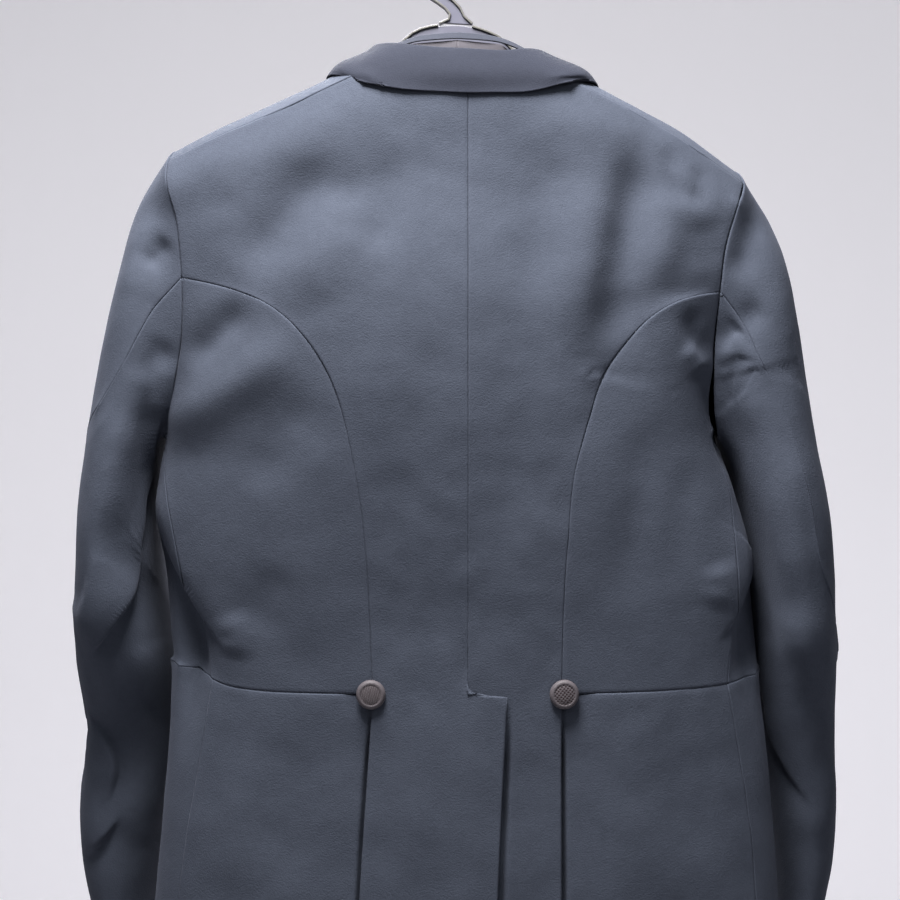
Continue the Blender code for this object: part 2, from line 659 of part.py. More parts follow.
def sleeve_surface(side, angle, share):
    """Point of a sleeve at a sleeve angle in degrees and a share of its length."""
    angle, share = np.broadcast_arrays(np.asarray(angle, float), np.asarray(share, float))
    round_angle = np.mod(angle - SHOULDER_ANGLE, FULL_TURN) + SHOULDER_ANGLE
    start = coat_surface(side, *armhole(side, round_angle))
    start = start + np.array([side * SLEEVE_START, 0, 0])
    ring = SLEEVE_RING[side]
    z = start[..., 2] + (CUFF[side] - start[..., 2]) * share
    outer, inner, back, front = (ring[name](z) for name in SLEEVE_COLUMNS[1:])
    turn = np.radians(angle)
    across, along = power_cos(turn, SLEEVE_POWER), power_sin(turn, SLEEVE_POWER)
    x = (outer + inner) / 2 + (outer - inner) / 2 * across
    y = (back + front) / 2 + (back - front) / 2 * along
    y = y - elbow_fold(side, (x - inner) / (outer - inner), z) * (along > 0) * along
    blend = 1 - (1 - np.clip(share / SLEEVE_HEAD, 0, 1)) ** 3
    x = start[..., 0] + (side * x - start[..., 0]) * blend
    y = start[..., 1] + (y - start[..., 1]) * blend
    return np.stack([x, y, z], -1)


def elbow_fold(side, outward, z):
    """Depth of the fold behind the elbow, which runs down towards the outer side."""
    fold = ELBOW_FOLD[side]
    line = fold["inner_z"] + (fold["outer_z"] - fold["inner_z"]) * outward
    away = (z - line + fold["spread"]) / fold["spread"]
    return fold["depth"] * np.exp(-away * away)


def surface_normal(surface, side, first, second, first_step, second_step):
    """Outward normal of a surface, from small steps along both of its directions."""
    across = surface(side, first + first_step, second) - surface(side, first - first_step, second)
    along = surface(side, first, second + second_step) - surface(side, first, second - second_step)
    normal = np.cross(across, along) * side
    return normal / np.linalg.norm(normal, axis=-1, keepdims=True)


def body_normal(surface, side, angle, height):
    """Outward normal of the coat's or the waistcoat's body."""
    return surface_normal(surface, side, angle, height, 0.4, 0.0008)


def spread_rows(inner, outer, shares):
    """Rows between two edges: one value per row end and a share per column."""
    inner, outer = np.asarray(inner)[:, None], np.asarray(outer)[:, None]
    return inner + (outer - inner) * np.asarray(shares)[None, :]


def fit_top(values, top, rows):
    """Bend the upper rows so that the last one follows the top edge."""
    values = values.copy()
    change = np.asarray(top) - values[-1]
    weight = (np.arange(len(values)) - (len(values) - 1 - rows)) / rows
    weight = np.clip(weight, 0, 1) ** 2
    return values + weight[:, None] * change[None, :]


def pulled_in(points, gap):
    """Move the edge rows and columns in by half the gap, along their own grid lines."""
    points = points.copy()
    source = points.copy()
    for axis in (0, 1):
        moved = np.moveaxis(points, axis, 0)
        first = np.moveaxis(source, axis, 0)
        for edge, inside in ((0, 1), (-1, -2)):
            step = first[inside] - first[edge]
            length = np.linalg.norm(step, axis=-1, keepdims=True)
            moved[edge] += step / np.maximum(length, 1e-9) * gap / 2
    return points


def add_object(name, bm, material, smooth=True):
    """Close a mesh up as one named object with its own material."""
    bmesh.ops.recalc_face_normals(bm, faces=bm.faces[:])
    mesh = bpy.data.meshes.new(name)
    bm.to_mesh(mesh)
    bm.free()
    if smooth:
        mesh.shade_smooth()
        mesh.set_sharp_from_angle(angle=math.radians(40))
    mesh.materials.append(material)
    new_object = bpy.data.objects.new(name, mesh)
    bpy.data.collections[COLLECTION_NAME].objects.link(new_object)
    return new_object


def add_material(name, colour, roughness, sheen=0.0):
    """Make a Principled material of its own for one piece."""
    material = bpy.data.materials.new(name)
    material.use_nodes = True
    shader = material.node_tree.nodes["Principled BSDF"]
    shader.inputs["Base Color"].default_value = (*colour, 1.0)
    shader.inputs["Roughness"].default_value = roughness
    shader.inputs["Metallic"].default_value = 0.0
    shader.inputs["Sheen Weight"].default_value = sheen
    material.diffuse_color = (*colour, 1.0)
    return material


def add_wall(name, finish, points, inward, thickness, gap=SEAM_GAP):
    """A closed wall of cloth between a grid of outer points and the points behind them."""
    rows, columns = points.shape[:2]
    outer = pulled_in(points, gap).reshape(-1, 3)
    behind = outer + inward.reshape(-1, 3) * thickness
    bm = bmesh.new()
    place = bm.verts.layers.int.new("place")
    bmesh.ops.create_grid(bm, x_segments=columns - 1, y_segments=rows - 1, size=1)
    bm.verts.ensure_lookup_table()
    for index, vert in enumerate(bm.verts):
        vert.co = outer[index]
        vert[place] = index
    extruded = bmesh.ops.extrude_face_region(bm, geom=bm.faces[:], use_keep_orig=True)
    for vert in extruded["geom"]:
        if isinstance(vert, bmesh.types.BMVert):
            vert.co = behind[vert[place]]
    return add_object(name, bm, add_material(name, **finish))


def coat_wall(name, side, angle, height, lift=0.0, top=None):
    """A piece of the coat's body from its grid of ring angles and heights."""
    normal = body_normal(coat_surface, side, angle, height)
    points = coat_surface(side, angle, height) + normal * np.asarray(lift)[..., None]
    if top:
        points[-1], normal[-1] = top
    return add_wall(name, WOOL, points, -normal, COAT_WALL)


def chords(values, stations, at):
    """Places on the straight lines between the points of a coarser edge."""
    return np.stack([np.interp(at, stations, values[:, axis]) for axis in range(3)], -1)


def add_back(side):
    """Back panel: tail, curved seam, armhole, shoulder seam and neckline."""
    name = SIDE_NAMES[side]
    tail_x, _, tail_h = seam_places(TAIL_EDGE, side, np.linspace(1, 0, TAIL_ROWS + 1))
    curve_x, _, curve_h = seam_places(CURVED_SEAM, side, WAIST_SHARES)
    arm_angle, arm_h = armhole(side, ARMHOLE_TOP)
    arm_x = side * coat_half(side, arm_h) * power_cos(np.radians(arm_angle), RING_POWER)
    outer_x = np.concatenate([tail_x, curve_x[1:], arm_x[1:]])
    outer_h = np.concatenate([tail_h, curve_h[1:], arm_h[1:]])
    # The centre-back edge: the vent's edge below the waist on the left, the seam above
    upper_rows = WAIST_ROWS + ARMHOLE_ROWS
    inner_h = np.concatenate([tail_h, np.linspace(WAIST, NAPE, upper_rows + 1)[1:]])
    inner_x = np.full_like(inner_h, CENTRE_BACK_X)
    flap = TAIL_ROWS
    if side == LEFT:
        inner_x[:flap] = VENT_EDGE(inner_h[:flap])
        inner_h[flap - 1] = WAIST - VENT_STEP
        outer_h[flap - 1] = WAIST - VENT_STEP
        inner_x[flap - 1] = VENT_EDGE(WAIST)
        outer_x[flap - 1] = outer_x[flap]
    x = spread_rows(inner_x, outer_x, BACK_COLUMNS)
    h = spread_rows(inner_h, outer_h, BACK_COLUMNS)
    top_x, top_h = back_top_edge(side)
    x = fit_top(x, top_x, 7)
    h = fit_top(h, top_h, 7)
    angle = ring_angle(side, x, h, coat_half)
    lift = np.zeros_like(x)
    if side == LEFT:
        beyond = smooth_step((CENTRE_BACK_X + VENT_EASE_START + VENT_EASE - x) / VENT_EASE)
        lift[:flap + 1] = VENT_LIFT * beyond[:flap + 1]
    coat_wall(f"back_{name}", side, angle, h, lift)


def back_top_edge(side):
    """Neckline then shoulder seam, from the centre back out to the shoulder point."""
    neck_x, neck_z = seam(NECKLINE, side)
    seam_x, seam_z = seam(SHOULDER_SEAM, side)
    along_neck = 1 - BACK_COLUMNS[:NECK_COLUMN] / BACK_COLUMNS[NECK_COLUMN]
    x = np.concatenate([neck_x(along_neck), seam_x(SHOULDER_SHARES)])
    z = np.concatenate([neck_z(along_neck), seam_z(SHOULDER_SHARES)])
    return x, shoulder_height(x, z, SHOULDER_LINE, False)


def add_sidebody(side):
    """Side body between the curved seam and the underarm seam."""
    _, back_angle, back_h = seam_places(CURVED_SEAM, side, WAIST_SHARES)
    _, side_angle, side_h = seam_places(UNDERARM_SEAM, side, WAIST_SHARES)
    angle = spread_rows(back_angle, side_angle, SIDEBODY_COLUMNS)
    height = spread_rows(back_h, side_h, SIDEBODY_COLUMNS)
    top_angle, top_h = armhole(side, ARMHOLE_LOW)
    angle = fit_top(angle, top_angle, 8)
    height = fit_top(height, top_h, 8)
    height[0] = WAIST_SEAM[SIDE_NAMES[side]](angle[0])
    coat_wall(f"sidebody_{SIDE_NAMES[side]}", side, angle, height)


def front_lap(side, reach):
    """The left front lies over the right one where they meet."""
    if side == RIGHT:
        return np.zeros_like(reach)
    return FRONT_LIFT * smooth_step((0.090 - reach) / 0.030)


def coat_reach(side, angle, height):
    """Distance from the centre line towards the piece's own side."""
    return coat_half(side, height) * power_cos(np.radians(angle), RING_POWER)


def front_edge(side):
    """Ring angle and height of the forepart's front edge, roll line and neck edge."""
    neck_x, neck_z = (curve(1.0) for curve in seam(SHOULDER_SEAM, side))
    over = float(shoulder_height(neck_x, neck_z, SHOULDER_LINE, True))
    low = np.linspace(ROLL_LINE.at[0], FRONT_EDGE_HEIGHTS[0], len(WAIST_SHARES))
    reach = np.concatenate([ROLL_LINE(low), ROLL_LINE(np.array(FRONT_EDGE_HEIGHTS[1:]))])
    widen = abs(float(neck_x)) - float(ROLL_LINE(-0.04))
    high = np.array(FRONT_EDGE_HEIGHTS[1:])
    height = np.concatenate([low, high])
    reach = reach + widen * smooth_step((height + 0.180) / 0.080)
    ridge_reach = float(ROLL_LINE(-0.07)) + widen
    ridge_h = float(ridge_height(side * ridge_reach, SHOULDER_LINE))
    reach = np.concatenate([reach, [ridge_reach, ridge_reach, abs(float(neck_x))]])
    height = np.concatenate([height, [ridge_h, (ridge_h + over) / 2, over]])
    return ring_angle(side, side * reach, height, coat_half, front=True), height


def add_forepart(side):
    """Forepart from the underarm seam and the armhole round to the roll line."""
    name = SIDE_NAMES[side]
    _, low_angle, low_h = seam_places(UNDERARM_SEAM, side, WAIST_SHARES)
    far_angle, far_h = armhole(side, ARMHOLE_FAR)
    side_angle = np.concatenate([low_angle, far_angle[1:]])
    side_h = np.concatenate([low_h, far_h[1:]])
    front_angle, front_h = front_edge(side)
    front_angle[0] = WAIST_FRONT_ANGLE
    angle = spread_rows(side_angle, front_angle, FOREPART_COLUMNS)
    height = spread_rows(side_h, front_h, FOREPART_COLUMNS)
    top_angle, top_h = shoulder_seam_front(side, FOREPART_COLUMNS)
    angle = fit_top(angle, top_angle, 3)
    height = fit_top(height, top_h, 3)
    height[0] = WAIST_SEAM[name](angle[0])
    ridge = len(WAIST_SHARES) - 1 + RIDGE_ROW
    ridge_x = side * coat_reach(side, angle[ridge], height[ridge])
    height[ridge] = ridge_height(ridge_x, SHOULDER_LINE)
    lift = front_lap(side, coat_reach(side, angle, height)) * (angle < 0)
    _, seam_angle, seam_h = seam_places(SHOULDER_SEAM, side, SHOULDER_SHARES[::-1])
    corners = coat_surface(side, seam_angle, seam_h)
    normals = body_normal(coat_surface, side, seam_angle, seam_h)
    top = tuple(chords(values, SHOULDER_SHARES[::-1], FOREPART_COLUMNS) for values in (corners, normals))
    coat_wall(f"forepart_{name}", side, angle, height, lift, top)


def add_skirts(side):
    """Back and front sections of a skirt, cut away towards the back hem."""
    name = SIDE_NAMES[side]
    _, curve_angle, _ = seam_places(CURVED_SEAM, side, np.array([1.0]))
    _, side_angle, _ = seam_places(UNDERARM_SEAM, side, np.array([1.0]))
    waist_angle = spread_rows(curve_angle, side_angle, SIDEBODY_COLUMNS)[0]
    down = np.linspace(0, 1, SKIRT_ROWS + 1) ** 1.1
    below = np.linspace(SKIRT_TIP, HEM, 4)[1:]
    pleat_h = np.concatenate([WAIST + (SKIRT_TIP - WAIST) * down, below])
    seam_h = WAIST_SEAM[name](side_angle[0]) * (1 - down) + SKIRT_TIP * down
    tail_z, tail_x = tail_edge_columns(side)
    edge_line = Curve(tail_z, tail_x)
    seam_angle = skirt_seam_angle(side, seam_h)
    front_angle = np.concatenate([seam_angle, CUTAWAY(below)])
    front_h = np.concatenate([seam_h, below])
    pleat_angle = ring_angle(side, edge_line(pleat_h), pleat_h, coat_half)
    lap_angle = ring_angle(side, edge_line(pleat_h) - side * PLEAT_LAP, pleat_h, coat_half)
    angle = spread_rows(pleat_angle, front_angle, SIDEBODY_COLUMNS)
    height = spread_rows(pleat_h, front_h, SIDEBODY_COLUMNS)
    angle[0] = waist_angle
    height[0] = WAIST_SEAM[name](waist_angle) - SEAM_GAP
    angle = np.concatenate([lap_angle[:, None], angle], 1)
    height = np.concatenate([pleat_h[:, None], height], 1)
    x = side * coat_reach(side, angle, height)
    under = smooth_step((side * (edge_line(height) - x) + 0.024) / 0.018)
    coat_wall(f"skirt_back_{name}", side, angle[::-1], height[::-1], -PLEAT_DROP * under[::-1])

    cut_h = WAIST_SEAM[name](WAIST_FRONT_ANGLE) * (1 - down) + SKIRT_TIP * down
    cut_angle = CUTAWAY(cut_h)
    cut_angle[0] = WAIST_FRONT_ANGLE
    angle = spread_rows(seam_angle, cut_angle, FOREPART_COLUMNS)
    height = spread_rows(seam_h, cut_h, FOREPART_COLUMNS)
    height[0] = WAIST_SEAM[name](angle[0]) - SEAM_GAP
    lift = front_lap(side, coat_reach(side, angle, height)) * (angle < 0)
    coat_wall(f"skirt_front_{name}", side, angle[::-1], height[::-1], lift[::-1])


def skirt_seam_angle(side, height):
    """Ring angle of the skirt's own seam, which starts at the foot of the underarm seam."""
    _, side_angle, _ = seam_places(UNDERARM_SEAM, side, np.array([1.0]))
    change = side_angle[0] - float(SKIRT_SEAM(-0.583))
    return SKIRT_SEAM(height) + change * (1 - smooth_step((-0.583 - height) / 0.25))


def tail_edge_columns(side):
    """Heights and x of the outer edge of the tail below the waist."""
    data = table(SEAM_COLUMNS, TAIL_EDGE)
    return data[f"{SIDE_NAMES[side]}_z"], data[f"{SIDE_NAMES[side]}_x"]


def add_lapel(side):
    """Peak lapel folded back over the forepart along the roll line."""
    share = np.linspace(0, 1, LAPEL_ROWS + 1)
    foot = BREAK_HEIGHT[side]
    roll_h = foot + (GORGE_HEIGHT - foot) * share
    edge_h = foot - 0.004 + (LAPEL_TOP["height"][-1] - foot + 0.004) * share
    columns = LAPEL_TOP["share"]
    taper = np.clip(share / 0.30 + 0.12, 0, 1)
    width = np.maximum(LAPEL_EDGE(edge_h) - ROLL_LINE(edge_h), 0) * taper + 0.003
    reach = spread_rows(ROLL_LINE(roll_h) + 0.001, ROLL_LINE(edge_h) + width, columns)
    height = spread_rows(roll_h, edge_h, columns)
    reach = fit_top(reach, LAPEL_TOP["reach"], 3)
    height = fit_top(height, LAPEL_TOP["height"], 3)
    angle = ring_angle(side, side * reach, height, coat_half, front=True)
    lift = COAT_WALL + LAPEL_GAP + LAPEL_LIFT * columns[None, :] + front_lap(side, reach)
    coat_wall(f"lapel_{SIDE_NAMES[side]}", side, angle, height, lift)


def sleeve_normal(side, angle, share):
    """Sleeve normal that meets the body's own normal over the shoulder and the back."""
    inside = np.clip(share, 0.003, 0.997)
    normal = -surface_normal(sleeve_surface, side, angle, inside, 0.8, 0.002)
    start = np.mod(angle - SHOULDER_ANGLE, FULL_TURN) + SHOULDER_ANGLE
    body = body_normal(coat_surface, side, *armhole(side, start))
    top = smooth_step((start - 285) / 25) + smooth_step((116 - start) / 20) * (start < 200)
    top = top * (share < 0.001)
    mixed = normal * (1 - top[..., None]) + body * top[..., None]
    return mixed / np.linalg.norm(mixed, axis=-1, keepdims=True)


def add_sleeve(side):
    """Top sleeve and under sleeve between the hind seam and the front seam."""
    name = SIDE_NAMES[side]
    start_under = np.concatenate([ARMHOLE_LOW, ARMHOLE_FAR[1:FRONT_SEAM_COLUMN + 1]])
    start_top = np.concatenate([ARMHOLE_FAR[FRONT_SEAM_COLUMN:], ARMHOLE_TOP[::-1][1:] + FULL_TURN])
    hind = HIND_SEAM[side](SLEEVE_SHARES)
    front = FRONT_SEAM(SLEEVE_SHARES)
    for piece, start, low, high in (
        ("under_sleeve", start_under, hind, front),
        ("top_sleeve", start_top, front, hind + FULL_TURN),
    ):
        columns = (start - start[0]) / (start[-1] - start[0])
        angle = spread_rows(low, high, columns)
        share = np.repeat(SLEEVE_SHARES[:, None], len(columns), axis=1)
        points = sleeve_surface(side, angle, share)
        normal = sleeve_normal(side, angle, share)
        add_wall(f"{piece}_{name}", WOOL, points, -normal, COAT_WALL, SLEEVE_GAP)


def collar_foot(side, share):
    """Ring angle and height where the stand starts: neckline, then the front's neck edge."""
    neck_x, neck_z = seam(NECKLINE, side)
    along = 1 - np.clip(share / COLLAR_NECK_SHARE, 0, 1)
    x, z = neck_x(along), neck_z(along)
    back_h = shoulder_height(x, z, SHOULDER_LINE, False)
    edge_angle, edge_h = front_edge(side)
    run = np.clip((share - COLLAR_NECK_SHARE) / (1 - COLLAR_NECK_SHARE), 0, 1)
    front_h = edge_h[-1] + (COLLAR_END - edge_h[-1]) * run
    on_back = share <= COLLAR_NECK_SHARE
    angle = np.where(on_back, ring_angle(side, x, z, coat_half), np.interp(front_h, edge_h, edge_angle))
    return angle, np.where(on_back, back_h, front_h)


def collar_edge(side, share):
    """Ring angle and height under the outer edge of the fall."""
    x, z = COLLAR[side]["edge_x"](share), COLLAR[side]["edge_z"](share)
    rising = shoulder_height(x, z, SHOULDER_LINE, False)
    over = shoulder_height(x, z, SHOULDER_LINE, True)
    on_back = share <= COLLAR_NECK_SHARE
    past_ridge = share > COLLAR_RIDGE_SHARE
    angle = ring_angle(side, x, z, coat_half)
    return np.where(on_back, angle, -angle), np.where(on_back | past_ridge, rising, over)


def collar_lines(side, share):
    """Lines along the collar, from its foot up the stand, over the fold and down the fall."""
    fold = np.stack([COLLAR[side][name](share) for name in ("fold_x", "fold_y", "fold_z")], -1)
    foot_place = collar_foot(side, share)
    edge_place = collar_edge(side, share)
    foot = coat_surface(side, *foot_place)
    above_foot = collar_layer(side, foot_place, edge_place, 0.12, COLLAR_FALL_LIFT)
    on_body = collar_layer(side, foot_place, edge_place, 0.55, COLLAR_FALL_LIFT)
    edge = collar_layer(side, foot_place, edge_place, 1.0, COLLAR_EDGE_LIFT)
    out = fold - np.array([*NECK_CENTRE, 0])
    out[:, 2] = 0
    out /= np.linalg.norm(out, axis=-1, keepdims=True)
    foot = foot + (fold - foot) * COLLAR_FOOT_RISE - out * COLLAR_FOOT_INSET(share)[:, None]
    stand_top = fold - out * COLLAR_FOLD_RADIUS
    fall_top = fold + out * COLLAR_FOLD_RADIUS
    rests = smooth_step((share - 0.20) / 0.22)[:, None]
    upper = fall_top * 0.5 + edge * 0.5 + out * COLLAR_ROLL_OUT
    lower = fall_top * 0.2 + edge * 0.8 + out * COLLAR_ROLL_OUT / 2
    upper = upper * (1 - rests) + above_foot * rests
    lower = lower * (1 - rests) + on_body * rests
    over = fold + np.array([0, 0, COLLAR_FOLD_RADIUS])
    return np.stack([foot, (foot + stand_top) / 2, stand_top, over, fall_top, upper, lower, edge])


def collar_layer(side, foot_place, edge_place, share, lift):
    """Points above the coat's body, a share of the way from the foot to the edge."""
    place = [low + (high - low) * share for low, high in zip(foot_place, edge_place)]
    return coat_surface(side, *place) + body_normal(coat_surface, side, *place) * lift


def add_collar():
    """Collar: a stand on the neckline, folded over to a fall that covers the seam."""
    right, left = (collar_lines(side, COLLAR_SHARES) for side in (RIGHT, LEFT))
    points = np.concatenate([left[:, ::-1], right[:, 1:]], 1)
    normal = grid_normals(points)
    add_wall("collar", WOOL, points + normal * COAT_WALL / 2, -normal, COAT_WALL)


def grid_normals(points):
    """Normals of a grid of points from their neighbours along rows and columns."""
    along = np.gradient(points, axis=0)
    across = np.gradient(points, axis=1)
    normal = np.cross(across, along)
    return normal / np.linalg.norm(normal, axis=-1, keepdims=True)


def waistcoat_side_edge():
    """Reach and height up the side seam and the armhole to the shoulder."""
    low = np.linspace(WAISTCOAT_HEM, WAISTCOAT_UNDERARM, WAISTCOAT_LOW_ROWS + 1)
    share = WAISTCOAT_ARMHOLE_SHARES[1:]
    reach = np.concatenate([WAISTCOAT_RING["half"](low), WAISTCOAT_ARMHOLE(share)])
    top = ridge_height(WAISTCOAT_ARMHOLE(0.0), waistcoat_line)
    return reach, np.concatenate([low, WAISTCOAT_UNDERARM + (top - WAISTCOAT_UNDERARM) * (1 - share)])


def waistcoat_wall(name, finish, side, angle, height, lift=0.0):
    """A piece of the waistcoat from its grid of ring angles and heights."""
    normal = body_normal(waistcoat_surface, side, angle, height)
    points = waistcoat_surface(side, angle, height) + normal * np.asarray(lift)[..., None]
    add_wall(name, finish, points, -normal, WAISTCOAT_WALL)


def add_waistcoat_back(side):
    """Half of the waistcoat's back, with the centre seam on its inner edge."""
    side_reach, side_h = waistcoat_side_edge()
    inner_h = np.interp(side_h, side_h[[0, -1]], (WAISTCOAT_HEM, float(WAISTCOAT_NECK(0.0))))
    x = spread_rows(np.full(len(side_h), WAISTCOAT_CENTRE_X), side * side_reach, WAISTCOAT_COLUMNS)
    height = spread_rows(inner_h, side_h, WAISTCOAT_COLUMNS)
    neck_share = WAISTCOAT_COLUMNS[:WAISTCOAT_NECK_COLUMN] / WAISTCOAT_COLUMNS[WAISTCOAT_NECK_COLUMN]
    shoulder_share = WAISTCOAT_COLUMNS[WAISTCOAT_NECK_COLUMN:] - WAISTCOAT_COLUMNS[WAISTCOAT_NECK_COLUMN]
    shoulder_share = shoulder_share / shoulder_share[-1]
    neck_end = WAISTCOAT_NECK.at[-1]
    neck_x = WAISTCOAT_CENTRE_X + (side * neck_end - WAISTCOAT_CENTRE_X) * neck_share
    shoulder_x = side * (neck_end + (float(WAISTCOAT_ARMHOLE(0.0)) - neck_end) * shoulder_share)
    neck_h = shoulder_height(neck_x, WAISTCOAT_NECK(np.abs(neck_x)), waistcoat_line, False)
    x = fit_top(x, np.concatenate([neck_x, shoulder_x]), 6)
    height = fit_top(height, np.concatenate([neck_h, ridge_height(shoulder_x, waistcoat_line)]), 6)
    angle = ring_angle(side, x, height, waistcoat_half)
    waistcoat_wall(f"waistcoat_back_{SIDE_NAMES[side]}", SATIN, side, angle, height)


def add_waistcoat_front(side):
    """Waistcoat front from the side seam to the V and the buttoned edge, with its point."""
    side_reach, side_h = waistcoat_side_edge()
    neck_end = WAISTCOAT_NECK.at[-1]
    top = float(ridge_height(side * neck_end, waistcoat_line))
    front_h = np.interp(side_h, side_h[[0, -1]], (WAISTCOAT_HEM, top))
    front_reach = WAISTCOAT_FRONT(front_h)
    front_reach[-1] = neck_end
    reach = spread_rows(front_reach, side_reach, WAISTCOAT_COLUMNS)
    height = spread_rows(front_h, side_h, WAISTCOAT_COLUMNS)
    height[0] = WAISTCOAT_FOOT(reach[0])
    height[-1] = ridge_height(side * reach[-1], waistcoat_line)
    angle = ring_angle(side, side * reach, height, waistcoat_half, front=True)
    lift = WAISTCOAT_LAP * smooth_step((0.060 - reach) / 0.030) if side == LEFT else 0 * reach
    name = f"waistcoat_front_{SIDE_NAMES[side]}"
    waistcoat_wall(name, WOOL, side, angle[:, ::-1], height[:, ::-1], lift[:, ::-1])


def add_neckband():
    """Band of dark cloth along the top of the waistcoat's back."""
    reach = np.linspace(-NECKBAND_REACH, NECKBAND_REACH, NECKBAND_COLUMNS)
    height = WAISTCOAT_NECK(np.abs(reach - WAISTCOAT_CENTRE_X)) + SEAM_GAP
    low = shoulder_height(reach, height, waistcoat_line, False)
    rows = []
    for rise in np.linspace(0, NECKBAND_WIDTH, 3):
        angle = ring_angle(LEFT, reach, height, waistcoat_half)
        rows.append(waistcoat_surface(LEFT, angle, low + rise))
    points = np.stack(rows)
    normal = body_normal(waistcoat_surface, LEFT, angle[None, :] + 0 * points[..., 0], low[None, :])
    points = points + normal * NECKBAND_LIFT
    add_wall("waistcoat_neckband", WOOL, points, -normal, NECKBAND_WALL)


def button_profile(diameter):
    """Half profile of a covered button, top to bottom at +X: dished top and round rim."""
    radius, height = diameter / 2, diameter * 0.26
    return (
        (0.0, height * 0.92),
        (radius * 0.55, height * 0.93),
        (radius * 0.74, height),
        (radius * 0.93, height * 0.72),
        (radius, height * 0.38),
        (radius * 0.86, 0.0),
        (0.0, 0.0),
    )


def add_button(name, finish, diameter, place, normal, steps=BUTTON_STEPS):
    """A covered button as a turned shape, seated on the cloth."""
    bm = bmesh.new()
    profile = [bm.verts.new((x, 0, z)) for x, z in button_profile(diameter)]
    edges = [bm.edges.new(pair) for pair in zip(profile, profile[1:])]
    bmesh.ops.spin(
        bm, geom=profile + edges, axis=(0, 0, 1), cent=(0, 0, 0), steps=steps, angle=math.tau
    )
    bmesh.ops.remove_doubles(bm, verts=bm.verts[:], dist=1e-6)
    turn = Vector(normal).to_track_quat("Z", "Y").to_matrix().to_4x4()
    button = add_object(name, bm, add_material(name, **finish))
    button.matrix_world = Matrix.Translation(Vector(place)) @ turn
    return button


def add_buttons():
    """Covered buttons at the back waist, the coat's front and down the waistcoat."""
    for side in (LEFT, RIGHT):
        x = table(SEAM_COLUMNS, CURVED_SEAM)[f"{SIDE_NAMES[side]}_x"][-1] + side * 0.0015
        angle = ring_angle(side, x, WAIST, coat_half)
        normal = body_normal(coat_surface, side, angle, np.array(WAIST))
        place = coat_surface(side, angle, WAIST) + normal * BACK_BUTTON_GAP
        add_button(f"back_button_{SIDE_NAMES[side]}", BUTTON_CLOTH, BACK_BUTTON_DIAMETER, place, normal)
    height = np.array(FRONT_BUTTON_HEIGHT)
    angle = ring_angle(LEFT, 0.001, height, coat_half, front=True)
    normal = body_normal(coat_surface, LEFT, angle, height)
    place = coat_surface(LEFT, angle, height) + normal * (FRONT_LIFT + LAY_GAP)
    add_button("front_button", BUTTON_CLOTH, FRONT_BUTTON_DIAMETER, place, normal)
    for number, height in enumerate(WAISTCOAT_BUTTON_HEIGHTS, 1):
        height = np.array(height)
        angle = ring_angle(LEFT, 0.001, height, waistcoat_half, front=True)
        normal = body_normal(waistcoat_surface, LEFT, angle, height)
        place = waistcoat_surface(LEFT, angle, height) + normal * (WAISTCOAT_LAP + LAY_GAP / 2)
        name = f"waistcoat_button_{number}"
        add_button(name, BUTTON_CLOTH, WAISTCOAT_BUTTON_DIAMETER, place, normal, steps=12)


def hanger_top(x):
    """Height of the hanger's top line: the free arch, then the arms under the shoulders."""
    arms = SHOULDER_LINE(x) - HANGER_REST(np.abs(x))
    return np.where(np.abs(x) < HANGER_ARCH_END, HANGER_ARCH(x), arms)


def add_hanger():
    """Arms of rim and web, swept from tip to tip, with the hook rising from their arch."""
    share = np.linspace(-1, 1, HANGER_STATIONS)
    x = HANGER_TIP * np.sign(share) * np.abs(share) ** 1.25
    top, depth = hanger_top(x), HANGER_DEPTH(np.abs(x))
    rim, web = HANGER_WIDTH / 2, HANGER_WEB / 2
    outline = (
        (rim, 0, 0), (rim, 0, -1), (web, 0, -1), (web, -1, 1), (rim, -1, 1), (rim, -1, 0),
        (-rim, -1, 0), (-rim, -1, 1), (-web, -1, 1), (-web, 0, -1), (-rim, 0, -1), (-rim, 0, 0),
    )
    lines = [
        np.stack([x, np.full_like(x, RIDGE_Y + y), top + depth * low + HANGER_RIM * step], -1)
        for y, low, step in outline
    ]
    bm = bmesh.new()
    rings = [
        [bm.verts.new(line[station]) for line in lines] for station in range(HANGER_STATIONS)
    ]
    for ring, following in zip(rings, rings[1:]):
        loop = zip(ring, ring[1:] + ring[:1], following[1:] + following[:1], following)
        for corners in loop:
            bm.faces.new(corners)
    for ring in (rings[0], rings[-1]):
        bm.faces.new(ring)
    hanger = add_object("hanger", bm, add_material("hanger", **PLASTIC), smooth=False)
    hook = add_hook()
    union = hanger.modifiers.new("hook", "BOOLEAN")
    union.operation = "UNION"
    union.solver = "EXACT"
    union.object = hook


